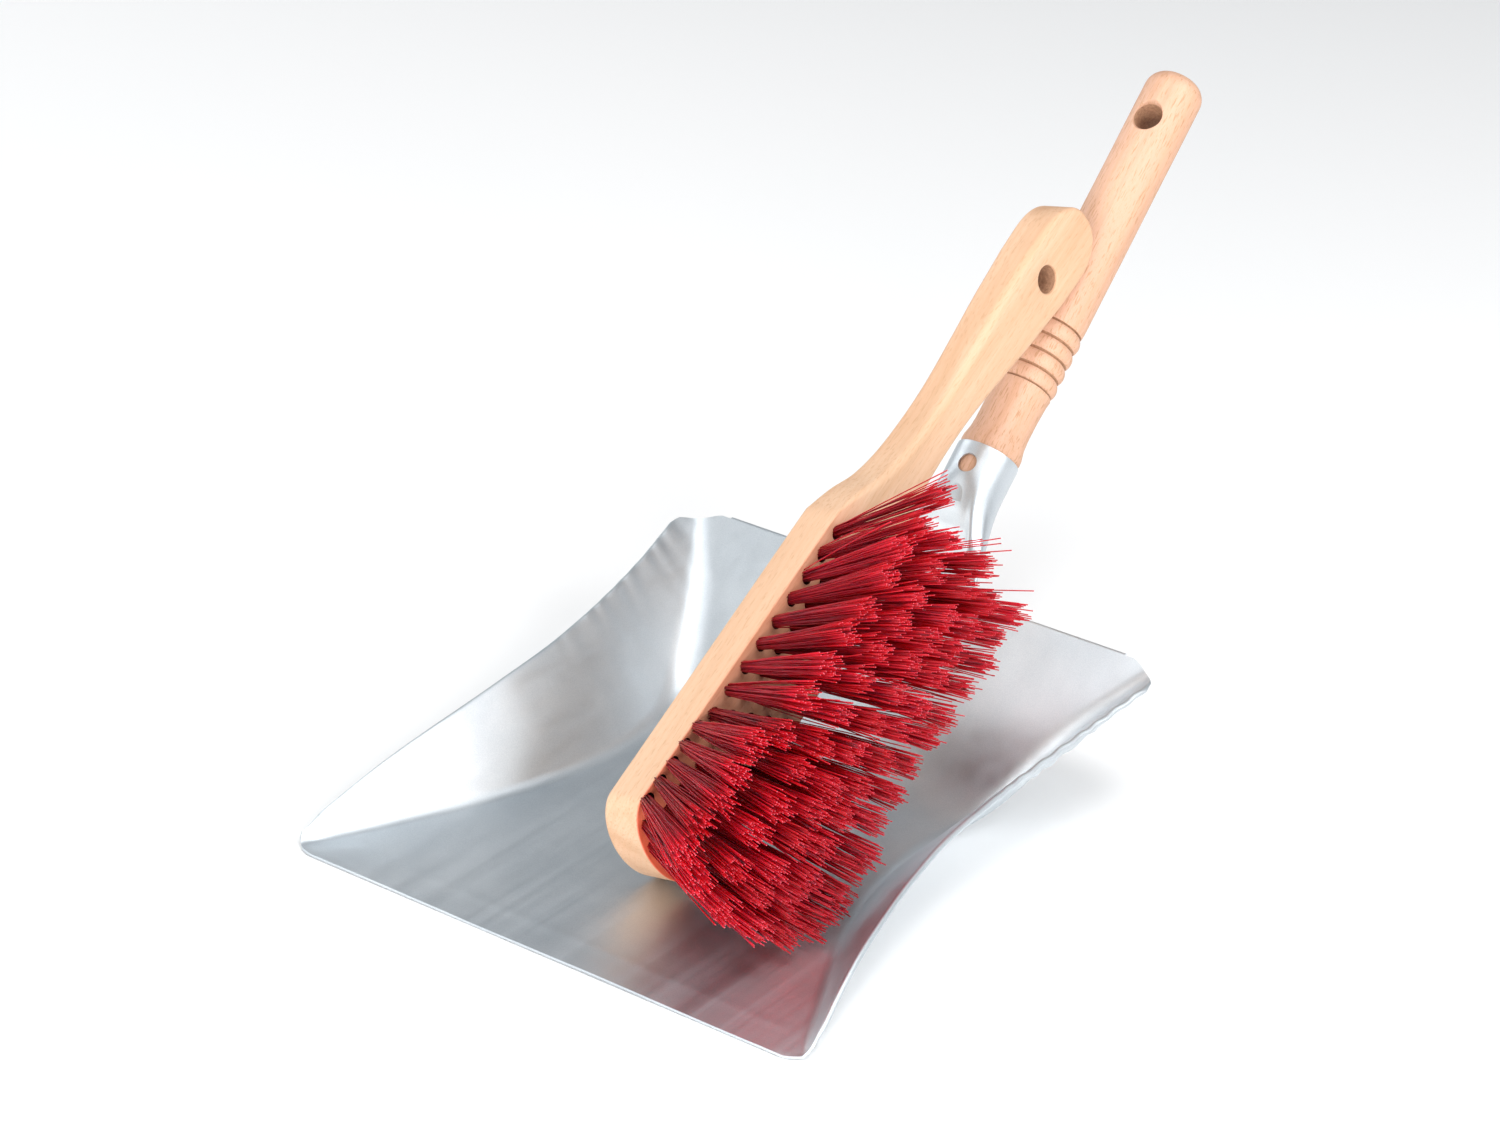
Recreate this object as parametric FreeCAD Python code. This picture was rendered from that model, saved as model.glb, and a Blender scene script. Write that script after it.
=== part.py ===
import FreeCAD, Part
import math
import os

from FreeCAD import Vector

# Dust pan and hand brush set, with the brush lying in the pan.
# Sizes are millimetres. The model is built in the pan's own frame: X across the pan, Y back
# from the front edge, Z up from the underside of the flat floor. At the end every shape is
# moved so that the origin is at the bottom centre of the whole set.

# ---- Driving dimensions: the pan ------------------------------------------------------------
PAN_WIDTH = 240.0            # across the front edge
PAN_DEPTH = 253.0            # front edge to the top edge of the back wall
SHEET = 1.0                  # galvanised sheet
FLOOR_FLAT = 172.0           # length of the flat floor
BEND_RADIUS = 42.0           # bend between the floor and the back wall
WALL_ANGLE = math.radians(39.5)
FRONT_CORNER = 12.0
REAR_CORNER = 20.9
REAR_HALF_WIDTH = 116.4      # half the width between the rounded rear corners
REAR_TRIM = 0.9              # how far the folded rear edge stands behind the wall's top edge
HEM_LEAF = 9.0               # width of the folded edge
HEM_THICK = 2.1 * SHEET
HEM_OVERLAP = 1.5            # how far the back hem's fold reaches down the back wall
HEM_START = 14.0
HEM_END = 239.0
SOCKET_GAP = 25.0            # half the gap in the back hem, where the socket passes
STATION_STEP = 8.0
SKIM = 0.02                  # trimmed off the underside, which leaves it truly flat
TRIM_BELOW = 5.0             # how far the trimming shapes reach below the floor
TRIM_HIGH = 80.0             # height of the prism that trims the outline

# (distance from the front edge, size) pairs
RIM_HALF_WIDTH = [(0, 119.7), (46, 110.0), (104, 102.4), (147, 102.0), (200, 107.5), (253, 116.7)]
RIM_HEIGHT = [(0, 1.9), (46, 20.4), (104, 33.4), (147, 38.8), (200, 46.0), (253, 57.2)]
CREASE_HALF_WIDTH = [(0, 118.4), (37, 100.9), (76, 83.6), (117, 71.8), (164, 70.3), (212, 86.0),
                     (253, 109.5)]
CREASE_RADIUS = [(0, 7.0), (117, 9.0), (164, 13.0), (212, 22.0), (253, 26.0)]

# ---- Driving dimensions: the pan's socket and handle ----------------------------------------
MOUTH = Vector(0, 298.0, 97.5)           # centre of the socket's mouth
HANDLE_TILT = math.radians(43.6)
SOCKET_RADIUS = 13.75
SOCKET_WALL = 0.8
SOCKET_HOLE = 4.0
SOCKET_HOLE_DOWN = 10.0
# (distance below the mouth, half width, half height) of the tube as it flattens
SOCKET_SHAPE = [(0, 13.75, 13.75), (16, 13.75, 13.75), (27, 15.2, 11.6), (38, 18.0, 7.2),
                (48, 20.6, 3.2)]
TONGUE_HALF_WIDTH = 22.0
TONGUE_THICK = 1.6
TONGUE_LENGTH = 36.0
TONGUE_START = 5.0
RIVETS = [(-13.0, 11.0), (13.0, 11.0), (0.0, 25.0)]    # across, down from the wall's top edge
RIVET_SHANK = 2.0
RIVET_HEAD = 3.8
RIVET_HEAD_HIGH = 1.4
RIVET_PLAY = 0.05            # gap round a rivet's shank in its hole
RIVET_PROUD = 0.02           # gap under a rivet's heads
TONGUE_CORNER = 10.0
OVAL_POINTS = 24
RIVET_CUTTER = (2.0, 6.0)    # how far a rivet hole's cutter starts above the wall, and its length

HANDLE_LENGTH = 186.0        # beyond the socket
GRIP_RADIUS = 12.75
NECK_RADIUS = 12.0
COLLAR_RADIUS = 12.3
TENON_RADIUS = 12.5
TENON_LENGTH = 28.0
TENON_TIP_RADIUS = 9.2
TENON_TAPER_END = 15.0
COLLAR_AT = 2.0              # distances beyond the socket's mouth
NECK_START = 12.0
NECK_END = 29.0
BEAD_START = 33.0
BEAD_PITCH = 7.3
BEAD_COUNT = 4
BEAD_RADIUS = 13.3
GROOVE_RADIUS = 12.2
BEAD_EASE = 2.5              # length of the slope from the last bead to the grip
HANDLE_END_ROUND = 8.0
HANDLE_HOLE = 6.25
HANDLE_HOLE_AT = 161.0
SCREW_SHANK = 1.6
SCREW_LENGTH = 13.0
SCREW_HEAD = 3.2
SCREW_HEAD_TOP = 1.92
SCREW_HEAD_HIGH = 1.8
SCREW_SEAT = SOCKET_RADIUS + 0.25
SCREW_PLAY = 0.2             # gap round the screw in the socket
PILOT_PLAY = 0.02            # and in the wood
THROUGH = 40.0               # length of a cutter that passes right through a handle

# ---- Driving dimensions: the brush ----------------------------------------------------------
# The brush's own axes: ALONG from the toe to the handle's end, OUT the way the bristles point,
# SIDE towards the long edge that faces up.
BRUSH_TOE = Vector(13.5, 52.5, 18.9)
ALONG = Vector(-0.018, 0.870, 0.493)
OUT = Vector(0.964, -0.115, 0.239)
BRUSH_LENGTH = 344.0
BRUSH_THICK = 18.0
BLOCK_HALF = 22.7
BLOCK_END = 158.5
TOE_DEPTH = 14.0
GRIP_END_DEPTH = 23.0
EDGE_ROUND = 2.0
# (distance from the toe, half width) of the brush's handle
BRUSH_NECK = [(173, 18.6), (186, 13.4), (202, 10.2), (222, 9.0), (240, 9.4), (262, 11.6),
              (286, 14.4)]
BRUSH_GRIP_HALF = 16.0
FLOW = 10.0                  # how strongly the neck's curve runs on from the straight sides
BRUSH_HOLE = 5.8
BRUSH_HOLE_AT = 308.5

TUFT_ROOT = 2.45
TUFT_TIP = 4.3
TUFT_LENGTH = 61.0
TUFT_DEPTH = 8.5
TUFT_HOLE = 2.55
TUFT_HOLE_DEPTH = 11.0
TUFT_HOLE_PROUD = 4.0        # how far the drill's cutter stands out of the bristle face
ROW_PITCH = 11.5
ROW_FIRST = 60.0
ROW_COUNT = 9
OUTER_ROW = 16.8
INNER_ROW = 8.4
EDGE_ROW = 19.4
EDGE_FIRST = 15.5
EDGE_PITCH = 8.9
EDGE_COUNT = 5
ANCHOR = (4.2, 0.45, 1.6)    # flat wire that holds a tuft at the bottom of its hole
ANCHOR_PLAY = 0.2            # gap between a tuft and its anchor
TOE_RING = (15.0, 9.5, 16.0)                     # centre from the toe, reach along and sideways
TOE_RING_TURNS = (-54, -18, 18, 54)

# Lean of the tufts, in degrees: outer rows lean sideways, and each tuft leans along the brush
# by the (distance from the toe, lean) pairs of the long edge that it is nearer to.
SIDE_LEAN_NEAR = 18.5
SIDE_LEAN_FAR = 11.5
NEAR_LEAN = [(5, -33), (15.5, -29), (33, -24), (51, -18), (71.5, -11.5), (94.5, -2), (129, 3.3),
             (152, 8)]
FAR_LEAN = [(5, -10), (15.5, -5), (33, -8.5), (60, -6.8), (85, 0), (120, 4), (152, 8)]


def between(stations, position):
    """Value at a position, straight between (position, value) pairs."""
    for (start, low), (end, high) in zip(stations, stations[1:]):
        if position <= end:
            return low + (high - low) * (position - start) / (end - start)
    return stations[-1][1]


def smooth(stations):
    """Return a function that runs smoothly through (position, value) pairs."""
    count = len(stations)
    slopes = []
    for i in range(count):
        low = stations[max(i - 1, 0)]
        high = stations[min(i + 1, count - 1)]
        slopes.append((high[1] - low[1]) / (high[0] - low[0]))

    def value(position):
        i = 0
        while i < count - 2 and position > stations[i + 1][0]:
            i += 1
        start, end = stations[i], stations[i + 1]
        span = end[0] - start[0]
        t = (position - start[0]) / span
        rise = (3 - 2 * t) * t * t
        curve_in = t * (1 - t) * (1 - t) * slopes[i] * span
        curve_out = t * t * (t - 1) * slopes[i + 1] * span
        return start[1] + (end[1] - start[1]) * rise + curve_in + curve_out

    return value


def polygon(points):
    """Return a flat face with straight sides."""
    return Part.Face(Part.makePolygon(points + [points[0]]))


# ---- The pan's sheet ------------------------------------------------------------------------
rim_half_width = smooth(RIM_HALF_WIDTH)
rim_height = smooth(RIM_HEIGHT)
crease_half_width = smooth(CREASE_HALF_WIDTH)
crease_radius = smooth(CREASE_RADIUS)
BEND_END = FLOOR_FLAT + BEND_RADIUS * math.sin(WALL_ANGLE)
BEND_RISE = BEND_RADIUS * (1 - math.cos(WALL_ANGLE))


def floor_slope(y):
    """Angle of the floor or back wall at distance y from the front edge."""
    if y <= FLOOR_FLAT:
        return 0.0
    if y >= BEND_END:
        return WALL_ANGLE
    return math.asin((y - FLOOR_FLAT) / BEND_RADIUS)


def floor_top(y):
    """Height of the floor's or back wall's upper face."""
    if y <= FLOOR_FLAT:
        return SHEET
    if y >= BEND_END:
        return SHEET + BEND_RISE + (y - BEND_END) * math.tan(WALL_ANGLE)
    return SHEET + BEND_RADIUS * (1 - math.cos(floor_slope(y)))


def half_section(y, hemmed):
    """Right half of the sheet's cross-section: upper arc, rim outline and lower arc points."""
    top = floor_top(y)
    drop = SHEET / math.cos(floor_slope(y)) + (SKIM if y <= FLOOR_FLAT else 0)
    crease = crease_half_width(y)
    run = rim_half_width(y) - crease
    rise = rim_height(y) - top
    angle = math.atan2(rise, run)
    length = math.hypot(run, rise)
    radius = min(crease_radius(y), 0.4 * length / math.tan(angle / 2))
    tangent = radius * math.tan(angle / 2)

    def on_wall(distance, depth):
        x = crease + distance * math.cos(angle) + depth * math.sin(angle)
        z = top + distance * math.sin(angle) - depth * math.cos(angle)
        return Vector(x, y, z)

    def on_bend(depth):
        reach = radius + depth
        x = crease - tangent + reach * math.sin(angle / 2)
        return Vector(x, y, top + radius - reach * math.cos(angle / 2))

    upper = [Vector(crease - tangent, y, top), on_bend(0), on_wall(tangent, 0)]
    under_floor = Vector(crease - tangent, y, top - drop)
    lower = [on_wall(tangent, SHEET), on_bend((SHEET + drop) / 2), under_floor]
    rim = [on_wall(length, 0), on_wall(length, SHEET)]
    if hemmed:
        leaf = min(HEM_LEAF, 0.45 * length)
        rim = [on_wall(length + SHEET, 0), on_wall(length + SHEET, HEM_THICK),
               on_wall(length - leaf, HEM_THICK), on_wall(length - leaf, SHEET)]
    return upper, rim, lower


def mirrored(points):
    """Mirror points across the pan's middle plane, in the opposite order."""
    return [Vector(-p.x, p.y, p.z) for p in reversed(points)]


def pan_section(y, hemmed):
    """Closed cross-section of the sheet at distance y from the front edge."""
    upper, rim, lower = half_section(y, hemmed)
    edges = []

    def lines(points):
        for start, end in zip(points, points[1:]):
            edges.append(Part.makeLine(start, end))

    def bend(points):
        edges.append(Part.Arc(*points).toShape())

    lines([mirrored(upper)[-1], upper[0]])
    bend(upper)
    lines([upper[-1]] + rim + [lower[0]])
    bend(lower)
    lines([lower[-1], mirrored(lower)[0]])
    bend(mirrored(lower))
    lines([mirrored(lower)[-1]] + mirrored(rim) + [mirrored(upper)[0]])
    bend(mirrored(upper))
    return Part.Wire(edges)


def pan_strip(start, end, hemmed):
    """One length of the sheet, from start to end along Y."""
    breaks = [FLOOR_FLAT, BEND_END]
    count = max(1, round((end - start) / STATION_STEP))
    stations = [start + (end - start) * i / count for i in range(count + 1)]
    stations += [y for y in breaks if start < y < end]
    wires = [pan_section(y, hemmed) for y in sorted(stations)]
    return Part.makeLoft(wires, True, True)


def on_back_wall(x, up, depth):
    """Point measured from the back wall's top edge: across, up the wall, and below its face."""
    y = PAN_DEPTH + up * math.cos(WALL_ANGLE) + depth * math.sin(WALL_ANGLE)
    z = floor_top(PAN_DEPTH) + up * math.sin(WALL_ANGLE) - depth * math.cos(WALL_ANGLE)
    return Vector(x, y, z)


WALL_OUT = Vector(0, math.sin(WALL_ANGLE), -math.cos(WALL_ANGLE))


def back_hem(x_start, x_end):
    """Folded edge along the top of the back wall."""
    profile = [(-HEM_OVERLAP, 0), (SHEET, 0), (SHEET, HEM_THICK), (-HEM_LEAF, HEM_THICK),
               (-HEM_LEAF, SHEET), (-HEM_OVERLAP, SHEET)]
    face = polygon([on_back_wall(x_start, up, depth) for up, depth in profile])
    return face.extrude(Vector(x_end - x_start, 0, 0))


def plan_prism():
    """Upright prism with the pan's outline as seen from above, with its rounded corners."""
    front = PAN_WIDTH / 2
    back = PAN_DEPTH + REAR_TRIM
    corners = [(-front, 0), (front, 0), (REAR_HALF_WIDTH, back), (-REAR_HALF_WIDTH, back)]
    outline = polygon([Vector(x, y, -TRIM_BELOW) for x, y in corners])
    prism = outline.extrude(Vector(0, 0, TRIM_HIGH))
    for at, radius in ((0, FRONT_CORNER), (back, REAR_CORNER)):
        upright = [edge for edge in prism.Edges
                   if edge.BoundBox.ZLength > TRIM_HIGH / 2 and abs(edge.CenterOfMass.y - at) < 0.01]
        prism = prism.makeFillet(radius, upright)
    return prism


def rivet_axis(across, down, depth):
    """Point on a rivet's axis, at a depth below the back wall's face."""
    return on_back_wall(across, -down, depth)


def rivet_holes():
    """Cutters for the rivets' holes through the back wall and the socket's tongue."""
    radius = RIVET_SHANK + RIVET_PLAY
    above, long = RIVET_CUTTER
    return [Part.makeCylinder(radius, long, rivet_axis(x, down, -above), WALL_OUT) for x, down in RIVETS]


def make_pan_sheet():
    """Floor, side walls and back wall, pressed from one sheet with folded edges."""
    strips = [pan_strip(0, HEM_START, False), pan_strip(HEM_START, HEM_END, True),
              pan_strip(HEM_END, PAN_DEPTH, False)]
    hem_reach = REAR_HALF_WIDTH - REAR_CORNER
    strips.append(back_hem(-hem_reach, -SOCKET_GAP))
    strips.append(back_hem(SOCKET_GAP, hem_reach))
    sheet = strips[0].multiFuse(strips[1:]).common(plan_prism())
    corner = Vector(-PAN_WIDTH, -PAN_DEPTH / 2, -TRIM_BELOW)
    below_floor = Part.makeBox(2 * PAN_WIDTH, 2 * PAN_DEPTH, TRIM_BELOW, corner)
    return sheet.cut(Part.makeCompound([below_floor])).cut(Part.makeCompound(rivet_holes()))


# ---- The socket and what it holds -----------------------------------------------------------
HANDLE_AXIS = Vector(0, math.cos(HANDLE_TILT), math.sin(HANDLE_TILT))
HANDLE_TOP = Vector(0, -math.sin(HANDLE_TILT), math.cos(HANDLE_TILT))


def oval(centre, half_width, half_height, top):
    """Closed oval wire: half_width across the pan and half_height towards top."""
    points = []
    for i in range(OVAL_POINTS):
        turn = 2 * math.pi * i / OVAL_POINTS
        across = Vector(1, 0, 0) * (half_width * math.cos(turn))
        points.append(centre + across + top * (half_height * math.sin(turn)))
    curve = Part.BSplineCurve()
    curve.interpolate(points, PeriodicFlag=True)
    return Part.Wire(curve.toShape())


def tube_sections(inset, mouth_at):
    """Sections of the tube as it flattens towards the pan, inset from its outer surface."""
    wires = []
    for down, half_width, half_height in SOCKET_SHAPE:
        centre = MOUTH - HANDLE_AXIS * (down if down else mouth_at)
        wires.append(oval(centre, half_width - inset, half_height - inset, HANDLE_TOP))
    return wires


def make_handle_socket():
    """Rolled tube with its lower end pressed flat into a tongue under the back wall."""
    middle = on_back_wall(0, TONGUE_START, SHEET + TONGUE_THICK / 2)
    flat = oval(middle, TONGUE_HALF_WIDTH, TONGUE_THICK / 2, WALL_OUT * -1)
    outer = Part.makeLoft(tube_sections(0, 0) + [flat], True, False)
    inner = Part.makeLoft(tube_sections(SOCKET_WALL, -1), True, False)
    width = TONGUE_HALF_WIDTH
    start = TONGUE_START + 1
    outline = [(-width, start), (width, start), (width, -TONGUE_LENGTH), (-width, -TONGUE_LENGTH)]
    tongue = polygon([on_back_wall(x, up, SHEET) for x, up in outline])
    tongue = tongue.extrude(WALL_OUT * TONGUE_THICK)
    ends = [e for e in tongue.Edges if abs(e.Length - TONGUE_THICK) < 1e-6
            and e.BoundBox.ZMax < on_back_wall(0, -TONGUE_LENGTH / 2, 0).z]
    tongue = tongue.makeFillet(TONGUE_CORNER, ends)
    socket = outer.fuse(tongue).cut(inner)
    look_hole = MOUTH - HANDLE_AXIS * SOCKET_HOLE_DOWN
    cutters = [Part.makeCylinder(SOCKET_HOLE, THROUGH / 2, look_hole, HANDLE_TOP)]
    clearance = SCREW_SHANK + SCREW_PLAY
    cutters.append(Part.makeCylinder(clearance, THROUGH / 2, look_hole, HANDLE_TOP * -1))
    return socket.cut(Part.makeCompound(cutters + rivet_holes()))


def make_socket_rivets():
    """Dome-headed rivets through the back wall and the socket's tongue."""
    rivets = []
    grip = SHEET + TONGUE_THICK
    for x, down in RIVETS:
        inner_face = rivet_axis(x, down, -RIVET_PROUD)
        outer_face = rivet_axis(x, down, grip + RIVET_PROUD)
        heads = []
        for face, way in ((inner_face, WALL_OUT * -1), (outer_face, WALL_OUT)):
            heads.append(Part.makeCone(RIVET_HEAD, RIVET_SHANK, RIVET_HEAD_HIGH, face, way))
        shank = Part.makeCylinder(RIVET_SHANK, grip + 2 * RIVET_PROUD, inner_face, WALL_OUT)
        rivets.append(shank.multiFuse(heads))
    return Part.makeCompound(rivets)


def make_pan_handle():
    """Turned wooden handle with a tenon, four beads and a hanging hole."""
    edges = []

    def at(distance, radius):
        return Vector(radius, 0, distance)

    def line(start, end):
        edges.append(Part.makeLine(start, end))

    shape = [at(-TENON_LENGTH, 0), at(-TENON_LENGTH, TENON_TIP_RADIUS),
             at(-TENON_TAPER_END, TENON_RADIUS), at(0, TENON_RADIUS), at(COLLAR_AT, COLLAR_RADIUS),
             at(NECK_START, NECK_RADIUS), at(NECK_END, NECK_RADIUS), at(BEAD_START, GROOVE_RADIUS)]
    for start, end in zip(shape, shape[1:]):
        line(start, end)
    here = BEAD_START
    for i in range(BEAD_COUNT):
        middle = at(here + BEAD_PITCH / 2, BEAD_RADIUS)
        bead = Part.Arc(at(here, GROOVE_RADIUS), middle, at(here + BEAD_PITCH, GROOVE_RADIUS))
        edges.append(bead.toShape())
        here += BEAD_PITCH
    line(at(here, GROOVE_RADIUS), at(here + BEAD_EASE, GRIP_RADIUS))
    line(at(here + BEAD_EASE, GRIP_RADIUS), at(HANDLE_LENGTH - HANDLE_END_ROUND, GRIP_RADIUS))
    turn = HANDLE_END_ROUND * (1 - math.sqrt(0.5))
    corner = at(HANDLE_LENGTH - turn, GRIP_RADIUS - turn)
    end = at(HANDLE_LENGTH, GRIP_RADIUS - HANDLE_END_ROUND)
    edges.append(Part.Arc(at(HANDLE_LENGTH - HANDLE_END_ROUND, GRIP_RADIUS), corner, end).toShape())
    line(end, at(HANDLE_LENGTH, 0))
    line(at(HANDLE_LENGTH, 0), at(-TENON_LENGTH, 0))
    handle = Part.Face(Part.Wire(edges)).revolve(Vector(0, 0, 0), Vector(0, 0, 1), 360)
    handle.Placement = FreeCAD.Placement(MOUTH, FreeCAD.Rotation(Vector(0, 0, 1), HANDLE_AXIS))
    hole_start = MOUTH + HANDLE_AXIS * HANDLE_HOLE_AT - HANDLE_TOP * (THROUGH / 2)
    hole = Part.makeCylinder(HANDLE_HOLE, THROUGH, hole_start, HANDLE_TOP)
    pilot_start = MOUTH - HANDLE_AXIS * SOCKET_HOLE_DOWN
    pilot = Part.makeCylinder(SCREW_SHANK + PILOT_PLAY, THROUGH / 2, pilot_start, HANDLE_TOP * -1)
    return handle.cut(Part.makeCompound([hole, pilot]))


def make_handle_screw():
    """Round-headed screw through the underside of the socket into the handle's tenon."""
    middle = MOUTH - HANDLE_AXIS * SOCKET_HOLE_DOWN
    below = HANDLE_TOP * -1
    seat = middle + below * SCREW_SEAT
    shank = Part.makeCylinder(SCREW_SHANK, SCREW_LENGTH, seat - below * SCREW_LENGTH, below)
    head = Part.makeCone(SCREW_HEAD, SCREW_HEAD_TOP, SCREW_HEAD_HIGH, seat, below)
    return shank.fuse(head)


# ---- The brush ------------------------------------------------------------------------------
ALONG.normalize()
OUT = OUT - ALONG * OUT.dot(ALONG)
OUT.normalize()
SIDE = OUT.cross(ALONG)


def on_brush(along, side, out):
    """Point in the brush's own axes, measured from the middle of the toe on the bristle face."""
    return BRUSH_TOE + ALONG * along + SIDE * side + OUT * out


def through(points, start_way, end_way):
    """Smooth edge through points that leaves and arrives along the given ways."""
    curve = Part.BSplineCurve()
    curve.interpolate(Points=points, InitialTangent=start_way, FinalTangent=end_way)
    return curve.toShape()


def toe_end(out):
    """Half oval round the toe."""
    middle = on_brush(TOE_DEPTH, 0, out)
    rounding = Part.Ellipse(on_brush(TOE_DEPTH, BLOCK_HALF, out), on_brush(0, 0, out), middle)
    return Part.ArcOfEllipse(rounding, 0, math.pi).toShape()


def grip_end(out):
    """Half oval round the end of the brush's handle."""
    start = BRUSH_LENGTH - GRIP_END_DEPTH
    middle = on_brush(start, 0, out)
    side = on_brush(start, BRUSH_GRIP_HALF, out)
    rounding = Part.Ellipse(on_brush(BRUSH_LENGTH, 0, out), side, middle)
    return Part.ArcOfEllipse(rounding, -math.pi / 2, math.pi / 2).toShape()


def brush_outline(out):
    """Closed outline of the brush's wood, at the given height along OUT."""
    grip_start = BRUSH_LENGTH - GRIP_END_DEPTH
    edges = []
    for side in (1, -1):
        block_end = on_brush(BLOCK_END, side * BLOCK_HALF, out)
        edges.append(Part.makeLine(on_brush(TOE_DEPTH, side * BLOCK_HALF, out), block_end))
        neck = [on_brush(along, side * half, out) for along, half in BRUSH_NECK]
        grip_widest = on_brush(BRUSH_HOLE_AT, side * BRUSH_GRIP_HALF, out)
        edges.append(through([block_end] + neck + [grip_widest], ALONG * FLOW, ALONG * FLOW))
        edges.append(Part.makeLine(grip_widest, on_brush(grip_start, side * BRUSH_GRIP_HALF, out)))
    edges += [toe_end(out), grip_end(out)]
    return Part.Wire(Part.sortEdges(edges)[0])


def tuft_rows():
    """Root positions (along, side) of every tuft, by the name of its row."""
    straight = [ROW_FIRST + ROW_PITCH * i for i in range(ROW_COUNT)]
    edge = [EDGE_FIRST + EDGE_PITCH * i for i in range(EDGE_COUNT)]
    staggered = [ROW_FIRST + ROW_PITCH * (i + 0.5) for i in range(-4, ROW_COUNT - 1)]
    middle = [ROW_FIRST + ROW_PITCH * i for i in range(-4, ROW_COUNT)]
    rows = {}
    rows["tufts_near_row"] = [(s, OUTER_ROW) for s in straight] + [(s, EDGE_ROW) for s in edge]
    rows["tufts_near_inner_row"] = [(s, INNER_ROW) for s in staggered]
    rows["tufts_middle_row"] = [(s, 0.0) for s in middle]
    rows["tufts_far_inner_row"] = [(s, -INNER_ROW) for s in staggered]
    rows["tufts_far_row"] = [(s, -OUTER_ROW) for s in straight] + [(s, -EDGE_ROW) for s in edge]
    centre, reach, half = TOE_RING
    ring = [math.radians(turn) for turn in TOE_RING_TURNS]
    rows["tufts_toe_ring"] = [(centre - reach * math.cos(t), half * math.sin(t)) for t in ring]
    return rows


def tuft_way(along, side):
    """Direction of a tuft: the brush fans out to all its edges."""
    outward = side / OUTER_ROW
    nearness = (side + EDGE_ROW) / (2 * EDGE_ROW)
    far_lean = between(FAR_LEAN, along)
    lean_along = math.radians(far_lean + (between(NEAR_LEAN, along) - far_lean) * nearness)
    lean_side = math.radians((SIDE_LEAN_NEAR if side > 0 else SIDE_LEAN_FAR) * outward)
    way = OUT + ALONG * math.tan(lean_along) + SIDE * math.tan(lean_side)
    way.normalize()
    return way


def make_tuft_row(roots):
    """One row of tufts: bundles of bristles that widen towards their tips."""
    tufts = []
    for along, side in roots:
        way = tuft_way(along, side)
        root = on_brush(along, side, 0)
        held = Part.makeCylinder(TUFT_ROOT, TUFT_DEPTH, root - way * TUFT_DEPTH, way)
        free = Part.makeCone(TUFT_ROOT, TUFT_TIP, TUFT_LENGTH, root, way)
        tufts.append(held.fuse(free))
    return Part.makeCompound(tufts)


def make_brush_block(rows):
    """Wooden block and handle in one piece, drilled for the tufts and for hanging."""
    wood = Part.Face(brush_outline(-BRUSH_THICK)).extrude(OUT * BRUSH_THICK)
    broad_faces = [face for face in wood.Faces if abs(face.normalAt(0, 0).dot(OUT)) > 0.999]
    rims = [edge for face in broad_faces for edge in face.Edges]
    wood = wood.makeFillet(EDGE_ROUND, rims)
    hole_start = on_brush(BRUSH_HOLE_AT, 0, -(THROUGH + BRUSH_THICK) / 2)
    cutters = [Part.makeCylinder(BRUSH_HOLE, THROUGH, hole_start, OUT)]
    for roots in rows.values():
        for along, side in roots:
            way = tuft_way(along, side)
            bottom = on_brush(along, side, 0) - way * TUFT_HOLE_DEPTH
            cutters.append(Part.makeCylinder(TUFT_HOLE, TUFT_HOLE_DEPTH + TUFT_HOLE_PROUD, bottom, way))
    return wood.cut(Part.makeCompound(cutters))


def make_tuft_anchors(rows):
    """Flat wire anchors that pin each folded tuft to the bottom of its hole."""
    anchors = []
    long, thick, deep = ANCHOR
    for roots in rows.values():
        for along, side in roots:
            way = tuft_way(along, side)
            box = Part.makeBox(long, thick, deep, Vector(-long / 2, -thick / 2, -deep))
            place = on_brush(along, side, 0) - way * (TUFT_DEPTH + ANCHOR_PLAY)
            box.Placement = FreeCAD.Placement(place, FreeCAD.Rotation(Vector(0, 0, 1), way))
            anchors.append(box)
    return Part.makeCompound(anchors)


# ---- The whole set --------------------------------------------------------------------------
def row_origin():
    """Bottom centre of the whole set: the rearmost point is on the handle's rounded end."""
    round_centre = MOUTH + HANDLE_AXIS * (HANDLE_LENGTH - HANDLE_END_ROUND)
    round_centre = round_centre - HANDLE_TOP * (GRIP_RADIUS - HANDLE_END_ROUND)
    return Vector(0, (round_centre.y + HANDLE_END_ROUND) / 2, 0)


def main():
    rows = tuft_rows()
    shapes = {"pan_sheet": make_pan_sheet(), "handle_socket": make_handle_socket(),
              "socket_rivets": make_socket_rivets(), "pan_handle": make_pan_handle(),
              "handle_screw": make_handle_screw(), "brush_block": make_brush_block(rows),
              "tuft_anchors": make_tuft_anchors(rows)}
    for name, roots in rows.items():
        shapes[name] = make_tuft_row(roots)
    os.makedirs("parts", exist_ok=True)
    for name, shape in shapes.items():
        moved = shape.copy()
        moved.translate(row_origin() * -1)
        print(name, "valid", moved.isValid(), "solids", len(moved.Solids))
        moved.exportStep("parts/" + name + ".step")


main()
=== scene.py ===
import math
import random

import bmesh
import bpy
from mathutils import Matrix, Vector, noise
from mathutils.geometry import delaunay_2d_cdt


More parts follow.
